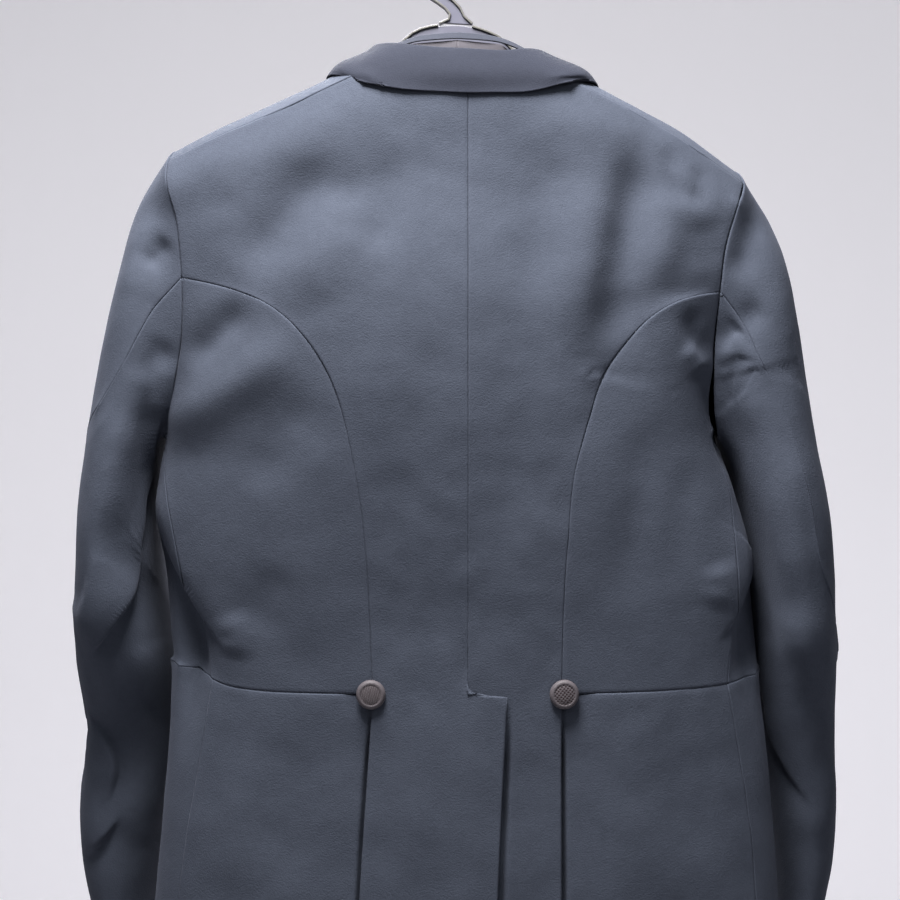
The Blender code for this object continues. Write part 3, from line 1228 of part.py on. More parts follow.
def add_hook():
    """Hook: a rod from the arch up its bent stem and round the rail."""
    radius = HOOK_RADIUS + HOOK_ROD
    turns = np.radians(np.linspace(*HOOK_TURN, HOOK_POINTS))
    circle = [(radius * math.cos(t), -HOOK_RADIUS + radius * math.sin(t)) for t in turns]
    points = list(HOOK_STEM) + circle
    curve = bpy.data.curves.new("hook", "CURVE")
    curve.dimensions = "3D"
    curve.bevel_depth = HOOK_ROD
    curve.bevel_resolution = 2
    curve.use_fill_caps = True
    spline = curve.splines.new("POLY")
    spline.points.add(len(points) - 1)
    for point, (x, z) in zip(spline.points, points):
        point.co = (x, RIDGE_Y, z, 1)
    rod = bpy.data.objects.new("hook_rod", curve)
    cutters = bpy.data.collections.new("cutters")
    bpy.context.scene.collection.children.link(cutters)
    cutters.objects.link(rod)
    bpy.context.view_layer.update()
    mesh = bpy.data.meshes.new_from_object(rod.evaluated_get(bpy.context.evaluated_depsgraph_get()))
    bm = bmesh.new()
    bm.from_mesh(mesh)
    bmesh.ops.remove_doubles(bm, verts=bm.verts[:], dist=1e-6)
    bmesh.ops.recalc_face_normals(bm, faces=bm.faces[:])
    bm.to_mesh(mesh)
    bm.free()
    hook = bpy.data.objects.new("hook", mesh)
    hook.matrix_world = rod.matrix_world
    cutters.objects.link(hook)
    bpy.data.objects.remove(rod)
    hook.hide_render = True
    hook.display_type = "WIRE"
    return hook


def main():
    for old in list(bpy.data.objects):
        bpy.data.objects.remove(old)
    collection = bpy.data.collections.new(COLLECTION_NAME)
    bpy.context.scene.collection.children.link(collection)
    for side in (LEFT, RIGHT):
        add_back(side)
        add_sidebody(side)
        add_forepart(side)
        add_skirts(side)
        add_lapel(side)
        add_sleeve(side)
        add_waistcoat_back(side)
        add_waistcoat_front(side)
    add_collar()
    add_neckband()
    add_buttons()
    add_hanger()


main()
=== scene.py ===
# %% [markdown]
# A morning coat with its waistcoat, hung on a moulded hanger and seen from behind.
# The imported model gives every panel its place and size. This script dresses it: each cloth
# wall is replaced by a thin sheet on the same form, with creases, seams and a wool finish.

# %%
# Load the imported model
import json
import math

import bmesh
import bpy
import numpy as np
from mathutils import Matrix, Vector, noise
from mathutils.bvhtree import BVHTree

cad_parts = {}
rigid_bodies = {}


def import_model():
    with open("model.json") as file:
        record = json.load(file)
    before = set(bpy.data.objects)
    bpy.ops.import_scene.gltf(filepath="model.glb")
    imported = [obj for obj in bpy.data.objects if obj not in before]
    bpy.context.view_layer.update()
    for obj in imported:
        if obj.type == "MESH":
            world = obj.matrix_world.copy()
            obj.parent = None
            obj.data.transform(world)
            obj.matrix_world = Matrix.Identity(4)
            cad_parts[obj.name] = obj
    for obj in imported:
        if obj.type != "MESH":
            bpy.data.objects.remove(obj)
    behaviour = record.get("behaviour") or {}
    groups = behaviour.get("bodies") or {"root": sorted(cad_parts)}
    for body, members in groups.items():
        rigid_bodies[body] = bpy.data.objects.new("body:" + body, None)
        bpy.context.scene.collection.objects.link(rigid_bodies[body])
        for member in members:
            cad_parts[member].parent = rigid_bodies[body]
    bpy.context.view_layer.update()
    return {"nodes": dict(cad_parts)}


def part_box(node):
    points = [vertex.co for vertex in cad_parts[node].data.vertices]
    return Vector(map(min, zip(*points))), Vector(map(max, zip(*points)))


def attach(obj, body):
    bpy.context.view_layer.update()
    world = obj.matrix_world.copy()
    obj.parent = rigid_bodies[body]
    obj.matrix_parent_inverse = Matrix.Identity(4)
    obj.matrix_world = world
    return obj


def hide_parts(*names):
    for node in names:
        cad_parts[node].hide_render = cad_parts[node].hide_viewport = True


for start_up in list(bpy.data.objects):
    bpy.data.objects.remove(start_up)
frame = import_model()
print("packed nodes:", len(frame["nodes"]))

# %% [markdown]
# Sizes are in metres. The origin is the inside top of the hook, +Z is up, the back faces +Y
# and the wearer's left is at +X, which is on the left of the picture. The camera stands
# behind the coat at chest height, level, because the photograph shows no tilt: the seams
# that hang upright stay parallel in it.

# %%
# Camera
CAMERA_PLACE = (0.004, 1.275, -0.406)
CAMERA_LENS = 64.9

camera_data = bpy.data.cameras.new("camera")
camera_data.lens = CAMERA_LENS
camera_data.sensor_width = 36.0
camera = bpy.data.objects.new("camera", camera_data)
camera.location = CAMERA_PLACE
camera.rotation_euler = (math.radians(90), 0, math.radians(180))
bpy.context.scene.collection.objects.link(camera)
bpy.context.scene.camera = camera
bpy.context.scene.view_settings.view_transform = "Standard"
print("camera at", CAMERA_PLACE)

# %% [markdown]
# Every cloth node is a closed wall: an outer face, an inner face one wall behind it and a
# rim. The rim's faces are the ones with an edge as long as the wall is thick. Without them
# two sheets are left, and the outer one has the larger area. Taking the sheets from the
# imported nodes, rather than building them again, keeps every seam where the CAD has it.

# %%
# Outer face of a cloth wall
COAT_WALL = 0.0020
WAISTCOAT_WALL = 0.0014
NECKBAND_WALL = 0.0022
WALL_MATCH = 0.000004
WELD = 0.000002


def joined_faces(start, seen):
    """All faces that hang together with this one."""
    found, waiting = [], [start]
    seen.add(start)
    while waiting:
        face = waiting.pop()
        found.append(face)
        neighbours = {other for edge in face.edges for other in edge.link_faces} - seen
        seen |= neighbours
        waiting += neighbours
    return found


def outer_face(node, wall):
    """A bmesh of a cloth node's outer face, welded and with its quads restored."""
    bm = bmesh.new()
    bm.from_mesh(frame["nodes"][node].data)
    bmesh.ops.remove_doubles(bm, verts=bm.verts[:], dist=WELD)
    rim = [
        face for face in bm.faces
        if any(abs(edge.calc_length() - wall) < WALL_MATCH for edge in face.edges)
    ]
    bmesh.ops.delete(bm, geom=rim, context="FACES")
    seen, sheets = set(), []
    for face in bm.faces:
        if face not in seen:
            sheets.append(joined_faces(face, seen))
    sheets.sort(key=lambda faces: sum(face.calc_area() for face in faces))
    inner = [face for faces in sheets[:-1] for face in faces]
    bmesh.ops.delete(bm, geom=inner, context="FACES")
    bmesh.ops.join_triangles(
        bm, faces=bm.faces[:], angle_face_threshold=math.pi, angle_shape_threshold=math.pi
    )
    return bm


# %% [markdown]
# The coarse quads become a smooth sheet with a Subdivision Surface. Its limit surface would
# cut every corner, so the cage is pushed out a few times until the smooth sheet runs
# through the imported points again: neighbouring panels share those points and still meet.
# Where a panel's outline turns sharply, its corner is creased so that it stays pointed. No
# point is pushed further than a share of its shortest edge, or tight rows would ripple, and
# a few rounds of smoothing inside each outline take out what ripples are left.

# %%
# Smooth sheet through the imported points
CORNER_TURN = math.radians(28)
FITTING_ROUNDS = 4
MOST_FITTING = 0.16
STILL = 1e-9
CAGE_ROUNDS = {"top_sleeve": 4, "under_sleeve": 4, "sidebody": 2, "forepart": 2}
CAGE_FACTORS = (0.5, -0.53)
SHEET_ROUNDS = 14
SHEET_FACTORS = (0.5,)


def mark_corners(bm):
    """Crease the outline's corners."""
    crease = bm.verts.layers.float.new("crease_vert")
    for vert in bm.verts:
        rims = [edge.other_vert(vert) for edge in vert.link_edges if edge.is_boundary]
        if len(rims) == 2:
            arriving, leaving = vert.co - rims[0].co, rims[1].co - vert.co
            if arriving.length * leaving.length > 0 and arriving.angle(leaving) > CORNER_TURN:
                vert[crease] = 1.0


def subdivided(holder):
    """A new mesh of the holder's smooth form."""
    bpy.context.view_layer.update()
    shaped = holder.evaluated_get(bpy.context.evaluated_depsgraph_get())
    return bpy.data.meshes.new_from_object(shaped)


def points_of(mesh):
    """Vertex positions as an array."""
    points = np.empty(len(mesh.vertices) * 3)
    mesh.vertices.foreach_get("co", points)
    return points.reshape(-1, 3)


def relax(mesh, rounds, factors, near=None):
    """Average the points inside the outline; a negative factor gives back lost fullness.

    near is the centre and the radii of the one place to average, or None for all.
    """
    ends = np.empty(len(mesh.edges) * 2, int)
    mesh.edges.foreach_get("vertices", ends)
    ends = ends.reshape(-1, 2)
    used = np.empty(len(mesh.loops), int)
    mesh.loops.foreach_get("edge_index", used)
    inside = np.ones((len(mesh.vertices), 1), bool)
    inside[ends[np.bincount(used, minlength=len(ends)) == 1]] = False
    both = np.concatenate([ends, ends[:, ::-1]])
    count = np.bincount(both[:, 0], minlength=len(inside))[:, None]
    points = points_of(mesh)
    share = inside * (1.0 if near is None else np.exp(
        -(((points - near[0]) / near[1]) ** 2).sum(1, keepdims=True)
    ))
    for factor in factors * rounds:
        total = np.stack([
            np.bincount(both[:, 0], points[both[:, 1], axis], len(inside)) for axis in range(3)
        ], -1)
        points = points + factor * share * (total / count - points)
    mesh.vertices.foreach_set("co", points.ravel())
    mesh.update()


def smooth_mesh(bm, name, level):
    """A mesh of the subdivided sheet."""
    mark_corners(bm)
    most = np.array([
        MOST_FITTING * min(edge.calc_length() for edge in vert.link_edges) for vert in bm.verts
    ])[:, None]
    cage = bpy.data.meshes.new(name)
    bm.to_mesh(cage)
    bm.free()
    relax(cage, CAGE_ROUNDS.get(name.rsplit("_", 1)[0], 0), CAGE_FACTORS)
    holder = bpy.data.objects.new(name, cage)
    bpy.context.scene.collection.objects.link(holder)
    form = holder.modifiers.new("form", "SUBSURF")
    form.levels = 1
    form.render_levels = 1
    form.boundary_smooth = "PRESERVE_CORNERS"
    wanted = points_of(cage)
    for fitting in range(FITTING_ROUNDS):
        shown = subdivided(holder)
        missing = wanted - points_of(shown)[:len(wanted)]
        bpy.data.meshes.remove(shown)
        moved = points_of(cage) + missing - wanted
        far = np.maximum(np.linalg.norm(moved, axis=1, keepdims=True), STILL)
        cage.vertices.foreach_set("co", (wanted + moved * np.minimum(1, most / far)).ravel())
        cage.update()
    form.levels = level
    form.render_levels = level
    mesh = subdivided(holder)
    bpy.data.objects.remove(holder)
    relax(mesh, SHEET_ROUNDS, SHEET_FACTORS)
    return mesh


# %% [markdown]
# A narrow ring round each panel dips a little, which gives a pressed seam its fine groove
# and a hem its turned edge. Where a sheet's faces are narrow, the ring is narrower too. The
# outer edge reaches a hair over the seam line, so no light passes between two panels.

# %%
# Pressed edges
SEAM_ROLL = 0.0010
SEAM_DIP = 0.0004
EDGE_REACH = 0.9  # share of the dip
RING_SHARE = 0.45  # most that the ring takes of a face


def press_edges(mesh, roll, dip):
    """Add the ring round the sheet, lower its outer edge and let it just meet its neighbour."""
    bm = bmesh.new()
    bm.from_mesh(mesh)
    bmesh.ops.inset_region(
        bm, faces=bm.faces[:], thickness=roll, use_boundary=True, use_even_offset=False
    )
    outline = {vert for edge in bm.edges if edge.is_boundary for vert in edge.verts}
    partners = {}
    for vert in outline:
        for edge in vert.link_edges:
            if not edge.is_boundary and edge.other_vert(vert) not in outline:
                partners[edge.other_vert(vert)] = vert
    for inner, vert in partners.items():
        beyond = [edge.other_vert(inner) for edge in inner.link_edges]
        gaps = [
            (other.co - vert.co).length for other in beyond
            if other not in outline and other not in partners
        ]
        if gaps and RING_SHARE * min(gaps) < (inner.co - vert.co).length:
            inner.co = vert.co + (inner.co - vert.co).normalized() * RING_SHARE * min(gaps)
    bm.normal_update()
    shifts = {vert: -vert.normal * dip for vert in outline}
    for inner, vert in partners.items():
        shifts[vert] += (vert.co - inner.co).normalized() * dip * EDGE_REACH
    for vert, shift in shifts.items():
        vert.co += shift
    bm.to_mesh(mesh)
    bm.free()


# %% [markdown]
# The cut of each panel: what it is made of, how finely it is subdivided, and the width,
# length and area of the flat cloth that it shows. Left and right are cut as a pair.

# %%
# Panels
SIDES = ("left", "right")
PANELS = {
    # name: wall, material slot, level, cut width, cut length, cut area
    "back": (COAT_WALL, "coat_wool", 3, 0.260, 1.030, 0.105),
    "sidebody": (COAT_WALL, "coat_wool", 3, 0.175, 0.320, 0.038),
    "forepart": (COAT_WALL, "coat_wool", 3, 0.330, 0.480, 0.111),
    "skirt_back": (COAT_WALL, "coat_wool", 3, 0.180, 0.560, 0.086),
    "skirt_front": (COAT_WALL, "coat_wool", 3, 0.300, 0.470, 0.055),
    "lapel": (COAT_WALL, "coat_wool", 3, 0.145, 0.365, 0.020),
    "top_sleeve": (COAT_WALL, "coat_wool", 3, 0.200, 0.640, 0.092),
    "under_sleeve": (COAT_WALL, "coat_wool", 3, 0.190, 0.530, 0.080),
    "waistcoat_back": (WAISTCOAT_WALL, "waistcoat_satin", 2, 0.215, 0.550, 0.096),
    "waistcoat_front": (WAISTCOAT_WALL, "waistcoat_wool", 2, 0.230, 0.580, 0.099),
}
SINGLE_PANELS = {
    "collar": (COAT_WALL, "collar_wool", 3, 0.600, 0.090, 0.033),
    "waistcoat_neckband": (NECKBAND_WALL, "waistcoat_wool", 2, 0.115, 0.010, 0.0008),
}

panels = dict(SINGLE_PANELS)
for name, panel in PANELS.items():
    for side in SIDES:
        panels[f"{name}_{side}"] = panel

meshes = {
    name: smooth_mesh(outer_face(name, wall), name, level)
    for name, (wall, slot, level, *cut) in panels.items()
}
print("sheets:", len(meshes), "with", sum(len(mesh.vertices) for mesh in meshes.values()), "points")

# %% [markdown]
# Tailored wool creases softly: long shallow valleys where the hanger pulls, short ones at
# the armholes, laps where a panel hangs over itself. Each is a row of a table: where it
# runs, how wide and how deep it is, and whether it is soft, a lap or a groove. The line is
# dropped on the cloth from the side that it is seen from, and the points near it move along
# the cloth's own normals, so a crease crosses seams without opening them.

# %%
# Line of a crease on the cloth
LINE_POINTS = 48
DRAWN_ROUNDS = 3
LAID_ROUNDS = 6
VIEWS = {
    # whether x runs across the view, and the side of the origin that it is seen from
    "back": (1, 1), "front": (1, -1), "left": (0, 1), "right": (0, -1),
}
GROUPS = {
    "body": ("back", "sidebody", "forepart", "skirt", "lapel"),
    "sleeve_left": ("top_sleeve_left", "under_sleeve_left"),
    "sleeve_right": ("top_sleeve_right", "under_sleeve_right"),
    "collar": ("collar",),
    "back_left": ("back_left",),
    "back_right": ("back_right",),
    "pleat_left": ("skirt_back_left",),
    "pleat_right": ("skirt_back_right",),
    "waistcoat": ("waistcoat_back", "waistcoat_front"),
}


def members(group):
    """Names of the sheets in a group."""
    return [name for name in meshes if name.startswith(GROUPS[group])]


def normals_of(mesh):
    """Vertex normals as an array."""
    normals = np.empty(len(mesh.vertices) * 3)
    mesh.vertex_normals.foreach_get("vector", normals)
    return normals.reshape(-1, 3)


def surface_of(group):
    """One search tree over all sheets of a group."""
    points, faces = [], []
    for name in members(group):
        start = len(points)
        points += [vertex.co.copy() for vertex in meshes[name].vertices]
        faces += [[start + index for index in face.vertices] for face in meshes[name].polygons]
    return BVHTree.FromPolygons(points, faces)


surfaces = {group: surface_of(group) for group in GROUPS}


def evened(line, rounds):
    """A row of values averaged with their neighbours, with both ends kept."""
    for rounding in range(rounds):
        line[1:-1] = (line[:-2] + 2 * line[1:-1] + line[2:]) / 4
    return line


def crease_line(group, view, flat_points):
    """Points, directions and normals along a crease, laid on the cloth."""
    axis, sign = VIEWS[view]
    flat_points = flat_points.reshape(-1, 2)
    steps = np.linalg.norm(np.diff(flat_points, axis=0), axis=1)
    along = np.concatenate([[0], np.cumsum(steps)]) / steps.sum()
    share = np.linspace(0, 1, LINE_POINTS)
    first, height = (
        evened(np.interp(share, along, column), DRAWN_ROUNDS) for column in flat_points.T
    )
    laid, normals = [], []
    for across, z in zip(first, height):
        start = Vector((0, sign, z)) if axis else Vector((sign, 0, z))
        start[0 if axis else 1] = across
        way = Vector((0, -sign, 0)) if axis else Vector((-sign, 0, 0))
        place, normal, *_ = surfaces[group].ray_cast(start, way)
        if place is None:
            place, normal, *_ = surfaces[group].find_nearest(start + way)
        laid.append(place)
        normals.append(-normal if normal.dot(way) > 0 else normal)
    laid, normals = evened(np.array(laid), LAID_ROUNDS), evened(np.array(normals), LAID_ROUNDS)
    normals /= np.linalg.norm(normals, axis=1, keepdims=True)
    runs = np.gradient(laid, axis=0)
    return laid, runs / np.linalg.norm(runs, axis=1, keepdims=True), normals


def smooth_step(share):
    """Ease from 0 to 1."""
    share = np.clip(share, 0, 1)
    return share * share * (3 - 2 * share)


# %% [markdown]
# A soft crease has the bell profile of a sagging sheet. A lap is a step: the cloth on the
# left of the line's run stands proud and hangs a little over the cloth on its right. A
# groove is a narrow trough, where a pleat's edge is pressed in.

# %%
# Effect of one crease on the points of a sheet
CREASE_REACH = 3.0  # half widths
FACING = 1.6
LAP_EDGE = 0.0032
LAP_FALL = 1.4
LAP_RISE = 0.5
LAP_HANG = 0.45
LIP_WIDTH = 1.6 * LAP_EDGE
FINE_REACH = {"groove": (0.008, 0.0045), "lap": (0.012, 0.0075)}
END_FADE = {"soft": 0.34, "groove": 0.08, "lap": 0.42}


def crease_shift(points, normals, line, kind, width, depth):
    """How far each point moves for a crease."""
    laid, runs, faces = line
    reach = CREASE_REACH * width
    near = np.all((points > laid.min(0) - reach) & (points < laid.max(0) + reach), axis=1)
    shift = np.zeros_like(points)
    if not near.any():
        return shift
    p, n = points[near], normals[near]
    gaps = p[:, None, :] - laid[None, :, :]
    nearest = np.argmin((gaps ** 2).sum(-1), axis=1)
    gap, run, face = gaps[np.arange(len(p)), nearest], runs[nearest], faces[nearest]
    onward = (gap * run).sum(1)
    side_way = np.cross(face, run)
    aside = (gap * side_way).sum(1)
    length = np.linalg.norm(laid[-1] - laid[0])
    share = nearest / (LINE_POINTS - 1) + onward / length
    fade = smooth_step(share / END_FADE[kind]) * smooth_step((1 - share) / END_FADE[kind])
    facing = smooth_step((n * face).sum(1) * FACING)
    amount = fade * facing * depth
    if kind != "lap":
        profile = amount * np.exp(-(aside / width) ** 2)
        shift[near] = n * profile[:, None]
        return shift
    step = np.tanh(aside / LAP_EDGE) * np.exp(-(np.abs(aside) / width) ** LAP_FALL)
    lip = np.exp(-((aside - LAP_EDGE) / LIP_WIDTH) ** 2)
    rise, hang = LAP_RISE * amount * step, LAP_HANG * amount * lip
    shift[near] = n * rise[:, None] - side_way * hang[:, None]
    return shift


def refine_near(mesh, lines):
    """Halve the faces close to laps and grooves, where the cloth turns within a few millimetres."""
    for finer in range(2):
        bm = bmesh.new()
        bm.from_mesh(mesh)
        chosen = set()
        for (laid, runs, faces), kind in lines:
            reach = FINE_REACH[kind][finer]
            for face in bm.faces:
                gap = laid - np.array(face.calc_center_median())
                if (gap ** 2).sum(1).min() < reach ** 2:
                    chosen.update(face.edges)
        if chosen:
            bmesh.ops.subdivide_edges(bm, edges=list(chosen), cuts=1, use_grid_fill=True)
            bm.to_mesh(mesh)
        bm.free()


# %% [markdown]
# The creases themselves. Those on the back run where the photograph shows them. The front,
# the outer sides and the lower tails are made up in the same manner.

# %%
# Table of creases
PER_METRE = 1000  # the tables are in millimetres
CREASES = {
    # group and view: kind, points along it as pairs, half width, depth
    # shoulder blades, armholes, waist and skirts
    ("body", "back"): (
        ("soft", (-158, -146, -134, -211, -124, -264, -107, -365), 17, -5.2),
        ("soft", (-118, -166, -100, -250, -84, -354), 22, 3.9),
        ("soft", (-163, -203, -157, -249, -149, -287), 14, 3.3),
        ("soft", (-63, -159, -61, -332, -51, -517), 34, -5),
        ("soft", (-68, -318, -62, -421, -55, -547), 20, 1.4),
        ("soft", (34, -160, 44, -296, 50, -421), 24, 1.6),
        ("soft", (-145, -369, -137, -443, -122, -532), 18, -2.7),
        ("soft", (-177, -406, -168, -458, -162, -518), 16, -1.6),
        ("soft", (-197, -489, -201, -508, -196, -528), 14, 3),
        ("soft", (169, -526, 163, -545, 165, -565), 12, 2.6),
        ("soft", (154, -548, 144, -518, 130, -488), 18, -1.6),
        ("soft", (115, -458, 108, -517, 97, -569), 24, 1.4),
        ("lap", (238, -449, 225, -475, 209, -500, 192, -529, 169, -565), 30, 9),
        ("lap", (-197, -555, -210, -537, -221, -516, -235, -490, -240, -476), 28, 7),
        ("soft", (154, -608, 167, -668, 172, -739), 20, 1.4),
        ("soft", (116, -603, 123, -666, 115, -736), 24, -1.4),
        ("soft", (-122, -603, -137, -666, -144, -737), 26, 1.6),
        ("soft", (-168, -604, -175, -668, -186, -739), 20, -1.4),
        ("soft", (19, -606, 11, -664, 14, -735), 20, 1.2),
        ("soft", (-75, -159, -63, -235, -56, -318), 18, -2),
        ("soft", (91, -182, 118, -219, 143, -254, 164, -276), 18, -5.6),
        ("soft", (61, -203, 90, -244, 111, -288, 115, -307), 22, 5),
        ("soft", (153, -294, 181, -321, 205, -345), 13, -5.2),
        ("soft", (113, -317, 148, -348, 181, -369, 211, -386, 220, -406), 19, 7.4),
        ("soft", (47, -171, 52, -220, 56, -273), 14, -4),
        ("soft", (98, -362, 127, -391, 153, -443), 22, -3.5),
        ("soft", (82, -193, 79, -223, 78, -258), 12, -3),
        ("soft", (-162, -169, -164, -200, -176, -226), 8, -3.36),
        ("soft", (-188, -185, -186, -209, -178, -227), 7, -2.88),
        ("soft", (-183, -229, -190, -252, -194, -272), 18, -1.8),
        ("soft", (-177, -296, -179, -316, -188, -330, -193, -341), 9, -3.8),
        ("soft", (-173, -325, -181, -337, -187, -350), 9, 3.5),
        ("soft", (-195, -339, -196, -368, -203, -398, -209, -426), 10, -4),
        ("soft", (-111, -166, -104, -250, -87, -317), 17, 2.2),
        ("soft", (150, -740, 160, -900, 150, -1060), 24, 3),
        ("soft", (60, -760, 66, -930, 50, -1080), 20, -2.5),
        ("soft", (-50, -740, -60, -880, -48, -1020), 18, 2),
        ("soft", (-130, -760, -146, -900, -140, -1070), 22, -3),
    ),
    # elbow folds and the pull below the armhole
    ("sleeve_left", "back"): (
        ("lap", (293, -578, 264, -539, 249, -515, 242, -481), 34, 13),
        ("lap", (276, -691, 271, -665, 272, -650, 279, -633, 294, -609), 26, 8),
        ("lap", (301, -735, 283, -716, 271, -702, 263, -694), 24, 7),
        ("soft", (234, -214, 244, -261, 248, -292), 12, 2),
        ("soft", (230, -201, 230, -250, 242, -285), 22, -4.6),
        ("soft", (254, -368, 258, -421, 263, -474), 14, 2.6),
        ("soft", (234, -391, 243, -437, 250, -479), 12, -1.5),
        ("soft", (216, -321, 230, -339, 241, -356), 12, -2.4),
        ("soft", (224, -333, 223, -362, 233, -386), 16, 2.6),
        ("soft", (219, -244, 229, -257, 238, -268), 10, -4),
        ("lap", (246, -511, 244, -476, 242, -445, 235, -410, 227, -389, 218, -366), 18, 9),
    ),
    # elbow folds and the pull below the armhole
    ("sleeve_right", "back"): (
        ("soft", (-208, -319, -218, -360, -229, -398), 14, 2.8),
        ("soft", (-230, -331, -243, -383, -252, -429), 14, -2.6),
        ("soft", (-238, -421, -249, -474, -261, -520), 14, 2.4),
        ("soft", (-259, -429, -271, -489, -282, -551), 10, -2),
        ("lap", (-245, -572, -255, -634, -267, -663, -277, -681, -287, -691), 26, 8),
        ("soft", (-263, -551, -278, -599, -302, -629), 14, -3.6),
        ("soft", (-255, -520, -268, -566, -279, -599), 14, 2.4),
        ("soft", (-302, -651, -292, -682, -281, -721), 16, 3),
        ("soft", (-236, -214, -223, -248, -212, -282), 11, -4.2),
        ("soft", (-214, -311, -223, -305, -235, -297), 10, -3),
        ("soft", (-213, -323, -207, -319, -217, -311), 10, -3),
        ("soft", (-212, -340, -209, -333, -221, -321), 12, 2.8),
    ),
    # chest, armholes, and the pull of the front button
    ("body", "front"): (
        ("soft", (190, -262, 152, -325, 112, -372), 18, 4.5),
        ("soft", (-184, -250, -150, -310, -100, -376), 16, 4),
        ("soft", (205, -300, 178, -352, 160, -410), 14, -5),
        ("soft", (-202, -305, -172, -366, -158, -436), 15, -4.5),
        ("soft", (34, -486, 86, -468, 150, -444), 11, 3.5),
        ("soft", (40, -502, 92, -492, 158, -478), 11, -3.2),
        ("soft", (-30, -486, -82, -474, -136, -458), 12, -3.4),
        ("soft", (-44, -468, -98, -450, -168, -424), 12, 3.6),
        ("soft", (196, -425, 182, -466, 172, -508), 14, -5),
        ("soft", (-192, -440, -186, -472, -176, -512), 13, 4.5),
        ("soft", (158, -530, 176, -610, 196, -690), 18, -3.5),
        ("soft", (-146, -530, -166, -606, -190, -680), 20, 3.5),
        ("soft", (150, -150, 158, -190, 150, -240), 14, -3.5),
        ("soft", (-156, -150, -170, -186, -164, -228), 13, -4),
    ),
    ("body", "left"): (
        ("soft", (-70, -540, -60, -620, -62, -700), 20, -3.5),
    ),
    ("body", "right"): (
        ("soft", (-60, -545, -66, -630, -50, -720), 20, -4),
    ),
    ("sleeve_left", "front"): (
        ("soft", (236, -452, 262, -468, 290, -462), 10, -5.5),
        ("soft", (242, -486, 266, -498, 292, -494), 10, 4),
        ("soft", (246, -520, 270, -528, 296, -518), 10, -5),
        ("soft", (240, -190, 250, -250, 252, -320), 12, -4),
        ("soft", (262, -620, 276, -656, 292, -690), 11, -4),
    ),
    ("sleeve_right", "front"): (
        ("soft", (-232, -430, -258, -448, -284, -446), 10, -5.2),
        ("soft", (-238, -470, -262, -480, -290, -470), 11, 4.2),
        ("soft", (-242, -506, -266, -520, -292, -516), 10, -4.8),
        ("soft", (-236, -186, -248, -236, -250, -300), 12, -3.6),
        ("soft", (-258, -640, -276, -664, -296, -704), 11, -4.2),
    ),
    ("sleeve_left", "left"): (
        ("soft", (-70, -500, -34, -516, 6, -556), 10, -5.5),
        ("soft", (-66, -470, -30, -486, 6, -520), 11, 3.5),
        ("soft", (-40, -220, -36, -300, -30, -390), 13, -3),
        ("soft", (-90, -610, -58, -630, -28, -664), 11, -4.5),
    ),
    ("sleeve_right", "right"): (
        ("soft", (-64, -484, -30, -506, 4, -540), 10, -5),
        ("soft", (-60, -520, -30, -536, 2, -574), 11, 3.5),
        ("soft", (-30, -230, -26, -310, -22, -400), 13, -2.8),
        ("soft", (-86, -636, -52, -652, -24, -690), 11, -4),
    ),
    ("waistcoat", "front"): (
        ("soft", (10, -352, 34, -344, 62, -326), 7, 1.4),
        ("soft", (-10, -400, -30, -392, -58, -372), 7, 1.4),
        ("soft", (30, -590, 64, -570, 100, -560), 9, -1.8),
        ("soft", (-26, -584, -58, -572, -96, -552), 9, 1.8),
    ),
    # the skirt pressed in beside the tail's edge
    ("pleat_left", "back"): (
        ("groove", (61.6, -600, 68.6, -700, 73.6, -800, 76.6, -900, 78.6, -1000, 81, -1135), 2.4, -6),
    ),
    # the skirt pressed in beside the tail's edge
    ("pleat_right", "back"): (
        ("groove", (-78.8, -600, -79.4, -700, -79.4, -800, -80, -900, -80.6, -1000, -81.2, -1135), 2.4, -6),
    ),
    # the lower tail pressed in beside the upper one's edge
    ("back_right", "back"): (
        ("groove", (-39, -600, -34.6, -700, -31.2, -800, -29.4, -900, -28.1, -1000, -26.6, -1130), 3, -5.5),
    ),
}
print("creases in the table:", sum(len(rows) for rows in CREASES.values()))

# %% [markdown]
# Larger forms are slow pushes of the cloth: the inner forearms swing in against the skirts,
# and the collar is drawn down on the shoulders. Beside each armhole the cloth is eased flat
# before its creases are laid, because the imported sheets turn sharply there.

# %%
# Table of slow forms and eased places
SWELLS = (
    # group, centre, radii, shift
    ("sleeve_left", (236, -55, -575), (45, 60, 110), (-12, 0, 0)),
    ("sleeve_right", (-238, -55, -540), (45, 60, 130), (14, 0, 0)),
    ("sleeve_left", (262, 10, -640), (36, 40, 60), (0, -14, 0)),
    ("body", (190, 30, -587), (12, 40, 10), (0, 0, 4)),
    ("back_left", (-9, 75, -574), (10, 30, 20), (0, -2, 0)),
    ("collar", (75, 55, -126), (45, 35, 14), (0, -6, -1.5)),
    ("collar", (-60, 60, -132), (26, 30, 14), (0, -3.4, -1.8)),
    ("collar", (0, 85, -138), (70, 40, 12), (0, -3, 0)),
    ("collar", (0, 50, -100), (90, 40, 12), (0, 2, -1.5)),
    ("collar", (106, 0, -118), (14, 50, 12), (-1, 0, -4)),
    ("collar", (-110, 0, -124), (14, 50, 12), (1, 0, -3.5)),
)
EASED = (
    # group, centre, radii
    ("sleeve_right", (-218, 45, -350), (60, 60, 34)),
    ("sleeve_left", (222, 45, -385), (50, 60, 30)),
)
EASING_ROUNDS = 50


def swell_shift(points, centre, radii, shift):
    """A smooth push of the cloth round a centre."""
    away = (((points - centre) / radii) ** 2).sum(1)
    return np.exp(-away)[:, None] * shift


# %% [markdown]
# All cloth is also a little slack: a slow noise of under a millimetre breaks up the light.

# %%
# Shape every sheet
SLACK = 0.0008
SLACK_SCALE = 13.0
SLACK_FRACTAL = (0.8, 2.0, 3)  # roughness, scale step, steps

